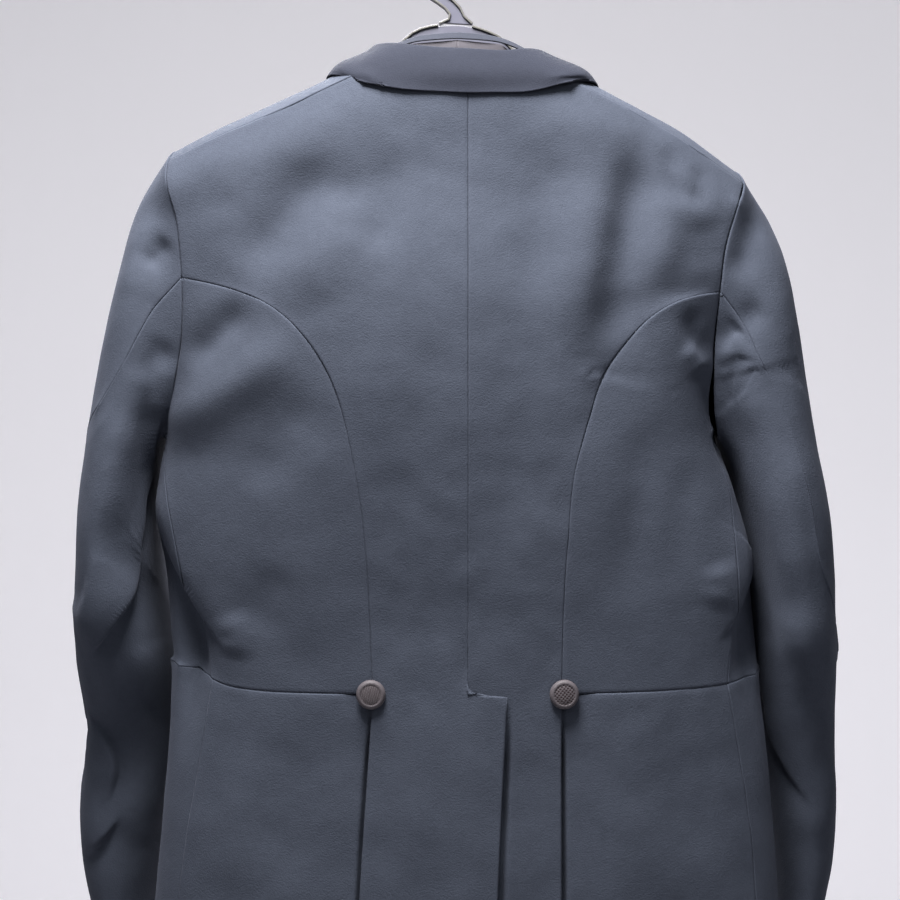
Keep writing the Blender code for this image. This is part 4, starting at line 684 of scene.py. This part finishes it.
lines = []
for (group, view), rows in CREASES.items():
    for kind, places, width, depth in rows:
        line = crease_line(group, view, np.array(places) / PER_METRE)
        lines.append((group, line, kind, width / PER_METRE, depth / PER_METRE))
for group in GROUPS:
    own = [row[1:] for row in lines if row[0] == group]
    swells = [np.array(row[1:]) / PER_METRE for row in SWELLS if row[0] == group]
    eased = [np.array(row[1:]) / PER_METRE for row in EASED if row[0] == group]
    for name in members(group):
        mesh = meshes[name]
        for place in eased:
            relax(mesh, EASING_ROUNDS, SHEET_FACTORS, place)
        refine_near(mesh, [row[:2] for row in own if row[1] != "soft"])
        points, normals = points_of(mesh), normals_of(mesh)
        total = np.zeros_like(points)
        for line, kind, width, depth in own:
            total += crease_shift(points, normals, line, kind, width, depth)
        for centre, radii, shift in swells:
            total += swell_shift(points, centre, radii, shift)
        slack = np.array([
            noise.fractal(Vector(point) * SLACK_SCALE, *SLACK_FRACTAL) for point in points
        ])
        total += normals * (slack * SLACK)[:, None]
        mesh.vertices.foreach_set("co", (points + total).ravel())
        mesh.update()
print("creases laid:", len(lines))

# %%
# Press the edges of every sheet
PRESSED = {"waistcoat_neckband": 0.5}  # share of the roll and dip on a narrow sheet

for name, mesh in meshes.items():
    share = PRESSED.get(name, 1.0)
    press_edges(mesh, SEAM_ROLL * share, SEAM_DIP * share)
print("sheet faces:", sum(len(mesh.polygons) for mesh in meshes.values()))
print("most on one sheet:", max(len(mesh.polygons) for mesh in meshes.values()))

# %% [markdown]
# Effects that several finishes share are shader groups: the wool's fuzz with its slow change
# of tone and a few specks of lint, and the braid of the buttons.

# %%
# Shader helpers


def put(tree, kind, inputs=(), **settings):
    """Add a node with its settings, and give its inputs a value or a link."""
    made = tree.nodes.new(kind)
    for name, value in settings.items():
        setattr(made, name, value)
    for name, value in dict(inputs).items():
        if isinstance(value, bpy.types.NodeSocket):
            tree.links.new(value, made.inputs[name])
        else:
            made.inputs[name].default_value = value
    return made


def shader_group(name, inputs, outputs):
    """An empty shader group with its sockets; gives its tree, input node and output node."""
    tree = bpy.data.node_groups.new(name, "ShaderNodeTree")
    for label, value in inputs.items():
        kind = "NodeSocketVector" if value is None else "NodeSocketFloat"
        socket = tree.interface.new_socket(label, in_out="INPUT", socket_type=kind)
        if value is not None:
            socket.default_value = value
    for label in outputs:
        tree.interface.new_socket(label, in_out="OUTPUT", socket_type="NodeSocketFloat")
    return tree, tree.nodes.new("NodeGroupInput"), tree.nodes.new("NodeGroupOutput")


def maths(tree, operation, first, second=0.0, third=0.0):
    """One step of arithmetic; gives its result."""
    made = tree.nodes.new("ShaderNodeMath")
    made.operation = operation
    for socket, value in zip(made.inputs, (first, second, third)):
        if isinstance(value, bpy.types.NodeSocket):
            tree.links.new(value, socket)
        else:
            socket.default_value = value
    return made.outputs[0]


def mixed(tree, share, low, high):
    """A colour between two colours; gives its result."""
    return put(tree, "ShaderNodeMix", {0: share, 6: low, 7: high}, data_type="RGBA").outputs[2]


def between(tree, value, edges):
    """A mask that rises from 0 to 1 between two values; gives its result."""
    inputs = {0: value, 1: edges[0], 2: edges[1], 3: 0.0, 4: 1.0}
    return put(tree, "ShaderNodeMapRange", inputs).outputs[0]


def new_material(name, roughness, specular):
    """A material with its shader's fixed values; gives it, its tree and its shader."""
    material = bpy.data.materials.new(name)
    material.use_nodes = True
    shader = material.node_tree.nodes["Principled BSDF"]
    shader.inputs["Roughness"].default_value = roughness
    shader.inputs["Specular IOR Level"].default_value = specular
    return material, material.node_tree, shader


def mesh_of(bm, name):
    """A mesh made of a bmesh, which is then freed."""
    mesh = bpy.data.meshes.new(name)
    bm.to_mesh(mesh)
    bm.free()
    return mesh


# %% [markdown]
# Worsted wool is even from afar and fuzzy from near: threads about a millimetre apart under
# a short nap, a slow change of tone where the nap lies differently, and a little lint.

# %%
# Wool shader group
PATCH_TONE, MOTTLE_TONE, THREAD_TONE = 0.42, 0.26, 0.42
MOTTLE_SCALE = 160.0
MOTTLE_HEIGHT = 0.45
LINT_SIZE = 0.022
LINT_RARITY = 0.82


def wool_group():
    """Tone, height and lint of a napped wool cloth."""
    tree, given, result = shader_group(
        "wool cloth",
        {"Place": None, "Threads": 850.0, "Patches": 7.0, "Lint": 24.0},
        ("Tone", "Height", "Lint"),
    )
    place = given.outputs["Place"]
    patches = put(
        tree, "ShaderNodeTexNoise",
        {"Vector": place, "Scale": given.outputs["Patches"], "Detail": 3.0, "Roughness": 0.55},
    )
    mottle = put(
        tree, "ShaderNodeTexNoise",
        {"Vector": place, "Scale": MOTTLE_SCALE, "Detail": 3.0, "Roughness": 0.6},
    )
    threads = put(
        tree, "ShaderNodeTexNoise",
        {"Vector": place, "Scale": given.outputs["Threads"], "Detail": 2.0, "Roughness": 0.6},
    )
    tone = maths(tree, "MULTIPLY", patches.outputs[0], PATCH_TONE)
    tone = maths(tree, "MULTIPLY_ADD", mottle.outputs[0], MOTTLE_TONE, tone)
    tone = maths(tree, "MULTIPLY_ADD", threads.outputs[0], THREAD_TONE, tone)
    height = maths(tree, "MULTIPLY_ADD", mottle.outputs[0], MOTTLE_HEIGHT, threads.outputs[0])
    specks = put(
        tree, "ShaderNodeTexVoronoi", {"Vector": place, "Scale": given.outputs["Lint"]}
    )
    small = maths(tree, "LESS_THAN", specks.outputs["Distance"], LINT_SIZE)
    chosen = put(tree, "ShaderNodeSeparateColor", {"Color": specks.outputs["Color"]})
    rare = maths(tree, "GREATER_THAN", chosen.outputs[0], LINT_RARITY)
    tree.links.new(tone, result.inputs["Tone"])
    tree.links.new(height, result.inputs["Height"])
    tree.links.new(maths(tree, "MULTIPLY", small, rare), result.inputs["Lint"])
    return tree


WOOL = wool_group()
print("wool group:", len(WOOL.nodes), "nodes")

# %% [markdown]
# The coat is a dark blue-grey. Its collar is the same wool in darker tones, as painted shade that lies over
# the collar. The shader is rough, with a faint cool sheen that lightens the cloth where it turns away, as
# the nap does. The waistcoat's back is satin, which is paler, denser and smoother, and has no nap.

# %%
# Cloth materials
CLOTH_SPECULAR = 0.12
NAP_ROUGHNESS = 0.45
NAP_TINT = (0.72, 0.77, 1.0, 1)
LINT_COLOUR = (0.16, 0.17, 0.20, 1)
FUZZ_HEIGHT = 0.0006


def cloth_material(name, dark, light, roughness, sheen, threads, bump):
    """A napped cloth between two tones."""
    material, tree, shader = new_material(name, roughness, CLOTH_SPECULAR)
    shader.inputs["Sheen Weight"].default_value = sheen
    shader.inputs["Sheen Roughness"].default_value = NAP_ROUGHNESS
    shader.inputs["Sheen Tint"].default_value = NAP_TINT
    place = put(tree, "ShaderNodeTexCoord").outputs["Object"]
    cloth = put(tree, "ShaderNodeGroup", {}, node_tree=WOOL)
    tree.links.new(place, cloth.inputs["Place"])
    cloth.inputs["Threads"].default_value = threads
    tone = mixed(tree, cloth.outputs["Tone"], (*dark, 1), (*light, 1))
    linty = mixed(tree, cloth.outputs["Lint"], tone, LINT_COLOUR)
    fuzz = put(
        tree, "ShaderNodeBump",
        {"Height": cloth.outputs["Height"], "Strength": bump, "Distance": FUZZ_HEIGHT},
    )
    tree.links.new(linty, shader.inputs["Base Color"])
    tree.links.new(fuzz.outputs[0], shader.inputs["Normal"])
    return material


CLOTHS = {
    # slot: dark tone, light tone, roughness, sheen, threads, bump
    "coat_wool": ((0.0185, 0.0218, 0.032), (0.057, 0.0655, 0.088), 0.88, 0.04, 850, 0.6),
    # collar: the coat's wool in darker tones, which paint shade over the collar
    "collar_wool": ((0.0075, 0.0085, 0.014), (0.021, 0.0235, 0.034), 0.90, 0.02, 950, 0.5),
    "waistcoat_wool": ((0.013, 0.0145, 0.021), (0.038, 0.041, 0.054), 0.88, 0.03, 900, 0.4),
    "waistcoat_satin": ((0.031, 0.029, 0.034), (0.060, 0.056, 0.065), 0.80, 0.0, 1400, 0.15),
}
FINISHES = {slot: cloth_material(slot, *cloth) for slot, cloth in CLOTHS.items()}
print("cloth finishes:", ", ".join(FINISHES))

# %% [markdown]
# Each sheet becomes an object with a Solidify modifier, thickened inwards so that its outside stays on the
# CAD form. It rides on the part's one body and stands for its node.

# %%
# Sheets as pieces
CLOTH = 0.0012


def add_piece(name, mesh, node):
    """An object of the part that stands for a node."""
    piece = bpy.data.objects.new(name, mesh)
    bpy.context.scene.collection.objects.link(piece)
    for polygon in mesh.polygons:
        polygon.use_smooth = True
    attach(piece, "root")
    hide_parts(node)
    return piece


for name, (wall, slot, level, width, length, area) in panels.items():
    mesh = meshes[name]
    mesh.materials.append(FINISHES[slot])
    piece = add_piece(f"{name}_cloth", mesh, name)
    thick = piece.modifiers.new("cloth", "SOLIDIFY")
    thick.thickness = CLOTH
    thick.offset = -1
print("cloth triangles, both faces:", 4 * sum(len(mesh.polygons) for mesh in meshes.values()))

# %% [markdown]
# The buttons are moulds covered with cloth: a smooth domed rim round a flatter disc of
# woven braid. A profile is spun round the button's own axis, which is the thinnest
# direction of its CAD solid, so each button sits where its node sits. Its UV map measures
# the face in radii from the centre, so that the braid stays centred on the button.

# %%
# Covered buttons
BUTTON_PROFILE = (
    # radius and height, as shares of the button's own
    (0.00, 0.90), (0.30, 0.89), (0.60, 0.85), (0.66, 0.80), (0.72, 0.86), (0.84, 0.84),
    (0.94, 0.66), (1.00, 0.38), (0.95, 0.10), (0.70, 0.00), (0.00, 0.00),
)
BUTTON_STEPS = 48
BUTTON_WELD = 0.000001


def button_axes(node):
    """Foot, axis away from the body, radius and height of a button node."""
    points = points_of(frame["nodes"][node].data)
    centre = points.mean(0)
    away = points - centre
    axis = np.linalg.svd(away, full_matrices=False)[2][2]
    axis *= np.sign(axis @ np.array((0.0, centre[1], 0.0)))
    along = away @ axis
    radius = np.linalg.norm(away - along[:, None] * axis, axis=1).max()
    return centre + axis * along.min(), axis, radius, np.ptp(along)


def add_button(node, finish):
    """One covered button on its node's axis."""
    foot, axis, radius, height = button_axes(node)
    bm = bmesh.new()
    rim = [bm.verts.new((radius * r, 0, height * h)) for r, h in BUTTON_PROFILE]
    line = [bm.edges.new(pair) for pair in zip(rim, rim[1:])]
    bmesh.ops.spin(
        bm, geom=rim + line, cent=(0, 0, 0), axis=(0, 0, 1), angle=2 * math.pi,
        steps=BUTTON_STEPS, use_merge=True,
    )
    bmesh.ops.remove_doubles(bm, verts=bm.verts[:], dist=BUTTON_WELD)
    bmesh.ops.recalc_face_normals(bm, faces=bm.faces[:])
    face_map = bm.loops.layers.uv.new("face")
    for face in bm.faces:
        for loop in face.loops:
            loop[face_map].uv = (loop.vert.co.x / radius, loop.vert.co.y / radius)
    turn = Vector(axis).to_track_quat("Z", "Y").to_matrix().to_4x4()
    bmesh.ops.transform(bm, matrix=Matrix.Translation(Vector(foot)) @ turn, verts=bm.verts[:])
    mesh = mesh_of(bm, node)
    mesh.materials.append(finish)
    return add_piece(f"{node}_cover", mesh, node)


# %% [markdown]
# The braid is two sets of ridges that cross at an angle. Where both run low, the gap is coloured dark:
# partly the braid's reddish-brown ground, partly painted shade in its hollows. The left button at the waist
# shows long gaps, like ribs, and the others a net.

# %%
# Braided cloth of the buttons
DISC_EDGE = (0.74, 0.66)
GAP_EDGE = (0.30, 0.62)
BUTTON_ROUGHNESS = 0.62
BUTTON_SPECULAR = 0.35
BRAID_HEIGHT = 0.0006
BRAID_STRENGTH = 0.8
WEAVE_SCALE = 1500.0
WEAVE_HEIGHT = 0.15
RIM_TONES = (0.040, 0.034, 0.040, 1), (0.090, 0.078, 0.086, 1)
# reddish-brown ground of the braid's gaps, darkened with painted shade
GAP_SHADE_COLOUR = (0.020, 0.010, 0.012, 1)


def braid_group():
    """Height and gaps of a braid over a button's face, and the mask of the disc."""
    tree, given, result = shader_group(
        "braid", {"Face": None, "Across": 22.0, "Along": 22.0, "Turn": 0.8}, ("Height", "Gap", "Disc")
    )
    parts = put(tree, "ShaderNodeSeparateXYZ", {0: given.outputs["Face"]})
    cosine = maths(tree, "COSINE", given.outputs["Turn"])
    sine = maths(tree, "SINE", given.outputs["Turn"])
    u, v = parts.outputs[0], parts.outputs[1]
    first = maths(tree, "MULTIPLY_ADD", u, cosine, maths(tree, "MULTIPLY", v, sine))
    back = maths(tree, "MULTIPLY", u, sine)
    second = maths(tree, "SUBTRACT", maths(tree, "MULTIPLY", v, cosine), back)
    ridge = maths(tree, "SINE", maths(tree, "MULTIPLY", first, given.outputs["Across"]))
    cross = maths(tree, "SINE", maths(tree, "MULTIPLY", second, given.outputs["Along"]))
    product = maths(tree, "ABSOLUTE", maths(tree, "MULTIPLY", ridge, cross))
    square = maths(tree, "MULTIPLY_ADD", u, u, maths(tree, "MULTIPLY", v, v))
    middle = maths(tree, "SQRT", square)
    disc = between(tree, middle, DISC_EDGE)
    gap = between(tree, product, GAP_EDGE)
    shown = maths(tree, "MULTIPLY", gap, disc)
    tree.links.new(maths(tree, "SUBTRACT", 1.0, shown), result.inputs["Height"])
    tree.links.new(shown, result.inputs["Gap"])
    tree.links.new(disc, result.inputs["Disc"])
    return tree


BRAID = braid_group()


def button_material(name, across, along, turn):
    """Braid over the disc and plain woven cloth on the rim."""
    material, tree, shader = new_material(name, BUTTON_ROUGHNESS, BUTTON_SPECULAR)
    face = put(tree, "ShaderNodeUVMap", {}, uv_map="face")
    braid = put(tree, "ShaderNodeGroup", {}, node_tree=BRAID)
    tree.links.new(face.outputs[0], braid.inputs["Face"])
    for label, value in (("Across", across), ("Along", along), ("Turn", turn)):
        braid.inputs[label].default_value = value
    place = put(tree, "ShaderNodeTexCoord").outputs["Object"]
    weave = put(tree, "ShaderNodeTexNoise", {"Vector": place, "Scale": WEAVE_SCALE, "Detail": 2.0})
    rim = mixed(tree, weave.outputs[0], *RIM_TONES)
    # the gaps take the dark colour: painted shade over the braid's reddish-brown ground
    braided = mixed(tree, braid.outputs["Gap"], rim, GAP_SHADE_COLOUR)
    height = maths(
        tree, "MULTIPLY_ADD", weave.outputs[0], WEAVE_HEIGHT, braid.outputs["Height"]
    )
    relief = put(
        tree, "ShaderNodeBump",
        {"Height": height, "Strength": BRAID_STRENGTH, "Distance": BRAID_HEIGHT},
    )
    tree.links.new(braided, shader.inputs["Base Color"])
    tree.links.new(relief.outputs[0], shader.inputs["Normal"])
    return material


NET = button_material("covered_button_net", across=17.0, along=17.0, turn=0.90)
RIBS = button_material("covered_button_ribs", across=21.0, along=44.0, turn=2.90)
buttons = [name for name in sorted(frame["nodes"]) if "button" in name]
for name in buttons:
    add_button(name, RIBS if name == "back_button_left" else NET)
print("buttons:", ", ".join(buttons))

# %% [markdown]
# The hanger is moulded plastic with a thin web between two rims, as moulded hangers are to
# save weight. Its arms follow the CAD solid, whose top and bottom lines are read off with
# rays. The hook has the same section: it leaves the arch in a flare, leans, and turns round
# the rail. The arch's rim stops at the hook's foot, where the hook's own rims run into it.
# Web and rims are ribbons with a wall, bevelled so that their edges catch light.

# %%
# Ribbons of the moulding
HANGER_MIDDLE = -0.004
RIM_DEPTH = 0.0060
RIM_WALL = 0.0018
WEB_WALL = 0.0032
HOOK_FOOT = 0.0125
HOOK_STEM = ((0.0000, -0.0704), (0.0002, -0.0660), (-0.0022, -0.0610), (0.0030, -0.0555))
HOOK_HALF_WIDTH = (
    (0.0, HOOK_FOOT + 0.0005), (0.0025, 0.0080), (0.006, 0.0050), (0.020, 0.0040), (0.20, 0.0040)
)


def ribbon(low, high, wall):
    """A closed strip between two lines of points."""
    bm = bmesh.new()
    bmesh.ops.create_grid(bm, x_segments=len(low) - 1, y_segments=1, size=0.5)
    order = sorted(bm.verts, key=lambda vert: (round(vert.co.y, 3), vert.co.x))
    for vert, place in zip(order, list(low) + list(high)):
        vert.co = place
    bmesh.ops.recalc_face_normals(bm, faces=bm.faces[:])
    bmesh.ops.solidify(bm, geom=bm.faces[:], thickness=wall)
    bmesh.ops.recalc_face_normals(bm, faces=bm.faces[:])
    return mesh_of(bm, "ribbon")


def at_depth(line, y):
    """The points of a line moved to one depth."""
    return [(x, HANGER_MIDDLE + y, z) for x, z in line]


def moulding(first, second, edges):
    """A web between two lines in the hanger's plane, and rims along its edges."""
    half = RIM_DEPTH / 2
    web = [at_depth(first, -WEB_WALL / 2), at_depth(second, -WEB_WALL / 2), WEB_WALL]
    rims = [[at_depth(line, -half), at_depth(line, half), RIM_WALL] for line in edges]
    return [ribbon(*web)] + [ribbon(*rim) for rim in rims]


# %% [markdown]
# The arms: a ray down and a ray up at each station give the top and the bottom line. The
# rays pass beside the hook, which is thinner than the arms.

# %%
# Lines of the arms and the hook
ARM_STATIONS = 61
ARM_TIP = 0.002
ABOVE_ARMS = -0.03
BELOW_ARMS = -0.30
BESIDE_HOOK = 0.0046
HOOK_RADIUS = 0.0288
HOOK_CENTRE = -0.025
HOOK_TURN = (-58.0, 205.0)
HOOK_STEPS = 40
HOOK_ROUNDS = 2

hanger_tree = BVHTree.FromPolygons(
    [vertex.co.copy() for vertex in frame["nodes"]["hanger"].data.vertices],
    [list(face.vertices) for face in frame["nodes"]["hanger"].data.polygons],
)
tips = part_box("hanger")
stations = np.linspace(tips[0][0] + ARM_TIP, tips[1][0] - ARM_TIP, ARM_STATIONS)


def arm_line(start, way):
    """Where rays from one height meet the arms, at every station."""
    hits = [
        hanger_tree.ray_cast(Vector((x, HANGER_MIDDLE + BESIDE_HOOK, start)), Vector((0, 0, way)))
        for x in stations
    ]
    return [(x, hit[0].z) for x, hit in zip(stations, hits)]


top_line, low_line = arm_line(ABOVE_ARMS, -1), arm_line(BELOW_ARMS, 1)
turns = np.radians(np.linspace(*HOOK_TURN, HOOK_STEPS))
hook_line = list(HOOK_STEM) + [
    (HOOK_RADIUS * math.cos(turn), HOOK_CENTRE + HOOK_RADIUS * math.sin(turn)) for turn in turns
]
hook_line = evened(np.array(hook_line), HOOK_ROUNDS)
hook_runs = np.gradient(hook_line, axis=0)
hook_runs /= np.linalg.norm(hook_runs, axis=1, keepdims=True)
gone = np.concatenate([[0], np.cumsum(np.linalg.norm(np.diff(hook_line, axis=0), axis=1))])
half_width = np.interp(gone, *zip(*HOOK_HALF_WIDTH))[:, None]
sideways = np.stack([hook_runs[:, 1], -hook_runs[:, 0]], -1) * half_width
hook_right, hook_left = hook_line + sideways, hook_line - sideways
print("hanger from", round(stations[0], 3), "to", round(stations[-1], 3))

# %%
# Hanger piece
MOULDED_EDGE = 0.0005
MOULDED_TURN = math.radians(40)

bm = bmesh.new()
arm_edges = [
    [place for place in top_line if place[0] < -HOOK_FOOT],
    [place for place in top_line if place[0] > HOOK_FOOT], low_line,
]
web_line = [(x, min(z, HOOK_STEM[0][1]) if abs(x) < HOOK_FOOT else z) for x, z in top_line]
arms = moulding(web_line, low_line, arm_edges)
for strip in arms + moulding(hook_left, hook_right, (hook_left, hook_right)):
    bm.from_mesh(strip)
hanger_mesh = mesh_of(bm, "hanger_moulding")
hanger_piece = add_piece("hanger_moulding", hanger_mesh, "hanger")
edges = hanger_piece.modifiers.new("moulded_edges", "BEVEL")
edges.width = MOULDED_EDGE
edges.segments = 2
edges.limit_method = "ANGLE"
edges.angle_limit = MOULDED_TURN
edges.harden_normals = True
print("hanger faces:", len(hanger_mesh.polygons))

# %% [markdown]
# The plastic is smoke grey. The rims are a touch darker than the web, which is a little
# blue.

# %%
# Hanger material
RIM_EDGE = (0.0018, 0.0030)
WEB_TONES = (0.060, 0.060, 0.083, 1), (0.088, 0.088, 0.115, 1)
RIM_COLOUR = (0.075, 0.073, 0.068, 1)
PLASTIC_ROUGHNESS = 0.38
PLASTIC_SPECULAR = 0.5
SKIN_STRENGTH = 0.15
SKIN_HEIGHT = 0.0004

plastic, tree, shader = new_material("hanger_plastic", PLASTIC_ROUGHNESS, PLASTIC_SPECULAR)
place = put(tree, "ShaderNodeTexCoord").outputs["Object"]
parts = put(tree, "ShaderNodeSeparateXYZ", {0: place})
depth = maths(tree, "ABSOLUTE", maths(tree, "SUBTRACT", parts.outputs[1], HANGER_MIDDLE))
rim_mask = between(tree, depth, RIM_EDGE)
cloud = put(tree, "ShaderNodeTexNoise", {"Vector": place, "Scale": 60.0, "Detail": 2.0})
web = mixed(tree, cloud.outputs[0], *WEB_TONES)
tone = mixed(tree, rim_mask, web, RIM_COLOUR)
skin = put(
    tree, "ShaderNodeBump",
    {"Height": cloud.outputs[0], "Strength": SKIN_STRENGTH, "Distance": SKIN_HEIGHT},
)
tree.links.new(tone, shader.inputs["Base Color"])
tree.links.new(skin.outputs[0], shader.inputs["Normal"])
hanger_mesh.materials.append(plastic)
print("hanger material:", len(tree.nodes), "nodes")

# %% [markdown]
# The set is a pale floor and backdrop. The backdrop glows faintly so that it stays as even
# as the studio wall in the photograph.

# %%
# Floor and backdrop
STAGE_SIZE = 7.0
FLOOR_HEIGHT = -1.95
BACKDROP_DEPTH = -3.2
PAPER = (0.70, 0.69, 0.73)
PAPER_SHADE = 0.97
PAPER_ROUGHNESS = 0.95
PAPER_SPECULAR = 0.5
FLOOR_GLOW = 0.04
BACKDROP_GLOW = 0.57


def paper_material(name, glow):
    """Plain pale paper with a very slow change of tone."""
    material, tree, shader = new_material(name, PAPER_ROUGHNESS, PAPER_SPECULAR)
    place = put(tree, "ShaderNodeTexCoord").outputs["Object"]
    cloud = put(tree, "ShaderNodeTexNoise", {"Vector": place, "Scale": 0.8, "Detail": 1.0})
    deeper = tuple(PAPER_SHADE * part for part in PAPER)
    tone = mixed(tree, cloud.outputs[0], (*deeper, 1), (*PAPER, 1))
    tree.links.new(tone, shader.inputs["Base Color"])
    tree.links.new(tone, shader.inputs["Emission Color"])
    shader.inputs["Emission Strength"].default_value = glow
    return material


def add_stage(name, turn, place, glow):
    """A flat sheet of the set."""
    bm = bmesh.new()
    bmesh.ops.create_grid(bm, x_segments=8, y_segments=8, size=STAGE_SIZE)
    bmesh.ops.rotate(bm, verts=bm.verts[:], matrix=turn)
    bmesh.ops.translate(bm, verts=bm.verts[:], vec=place)
    mesh = mesh_of(bm, name)
    mesh.materials.append(paper_material(f"{name}_paper", glow))
    sheet = bpy.data.objects.new(name, mesh)
    bpy.context.scene.collection.objects.link(sheet)


upright = Matrix.Rotation(math.radians(-90), 3, "X")
add_stage("floor", Matrix.Identity(3), (0, 0, FLOOR_HEIGHT), FLOOR_GLOW)
add_stage("backdrop", upright, (0, BACKDROP_DEPTH, 0), BACKDROP_GLOW)
print("floor at", FLOOR_HEIGHT, "and backdrop at", BACKDROP_DEPTH)

# %% [markdown]
# A shop's ceiling light shows black wool by its folds: it hangs high and close, so the
# upper back is bright, the skirts are dark, and each fold has a lit and a dark side. The
# key light does the same from a little to the picture's left. Two weak fills stand at the
# sides of the camera, and a front light serves the views from the front.

# %%
# Lights
LIGHTS = {
    # name: place, what it looks at, size, power, colour
    "key": ((0.15, 0.42, 0.66), (0.0, 0.03, -0.25), 0.5, 67, (1.0, 0.99, 0.98)),
    "fill_left": ((1.1, 1.0, 0.3), (0.1, 0.0, -0.40), 0.8, 5.5, (0.95, 0.97, 1.0)),
    "fill_right": ((-1.1, 1.0, 0.4), (-0.1, 0.0, -0.40), 0.8, 6.0, (0.95, 0.97, 1.0)),
    "front": ((0.3, -1.0, 0.9), (0.0, 0.0, -0.40), 0.8, 36, (1.0, 1.0, 1.0)),
}
SURROUNDINGS = (0.92, 0.93, 1.0, 1)
SURROUNDINGS_STRENGTH = 0.03


def add_light(name, place, target, size, power, colour):
    """A square soft light that looks at a point."""
    data = bpy.data.lights.new(name, "AREA")
    data.energy = power
    data.size = size
    data.color = colour
    light = bpy.data.objects.new(name, data)
    light.location = place
    light.rotation_euler = (Vector(target) - Vector(place)).to_track_quat("-Z", "Y").to_euler()
    bpy.context.scene.collection.objects.link(light)


for name, settings in LIGHTS.items():
    add_light(name, *settings)
surroundings = bpy.data.worlds.new("surroundings")
surroundings.use_nodes = True
sky = surroundings.node_tree.nodes["Background"]
sky.inputs["Color"].default_value = SURROUNDINGS
sky.inputs["Strength"].default_value = SURROUNDINGS_STRENGTH
bpy.context.scene.world = surroundings
print("lights:", ", ".join(LIGHTS))
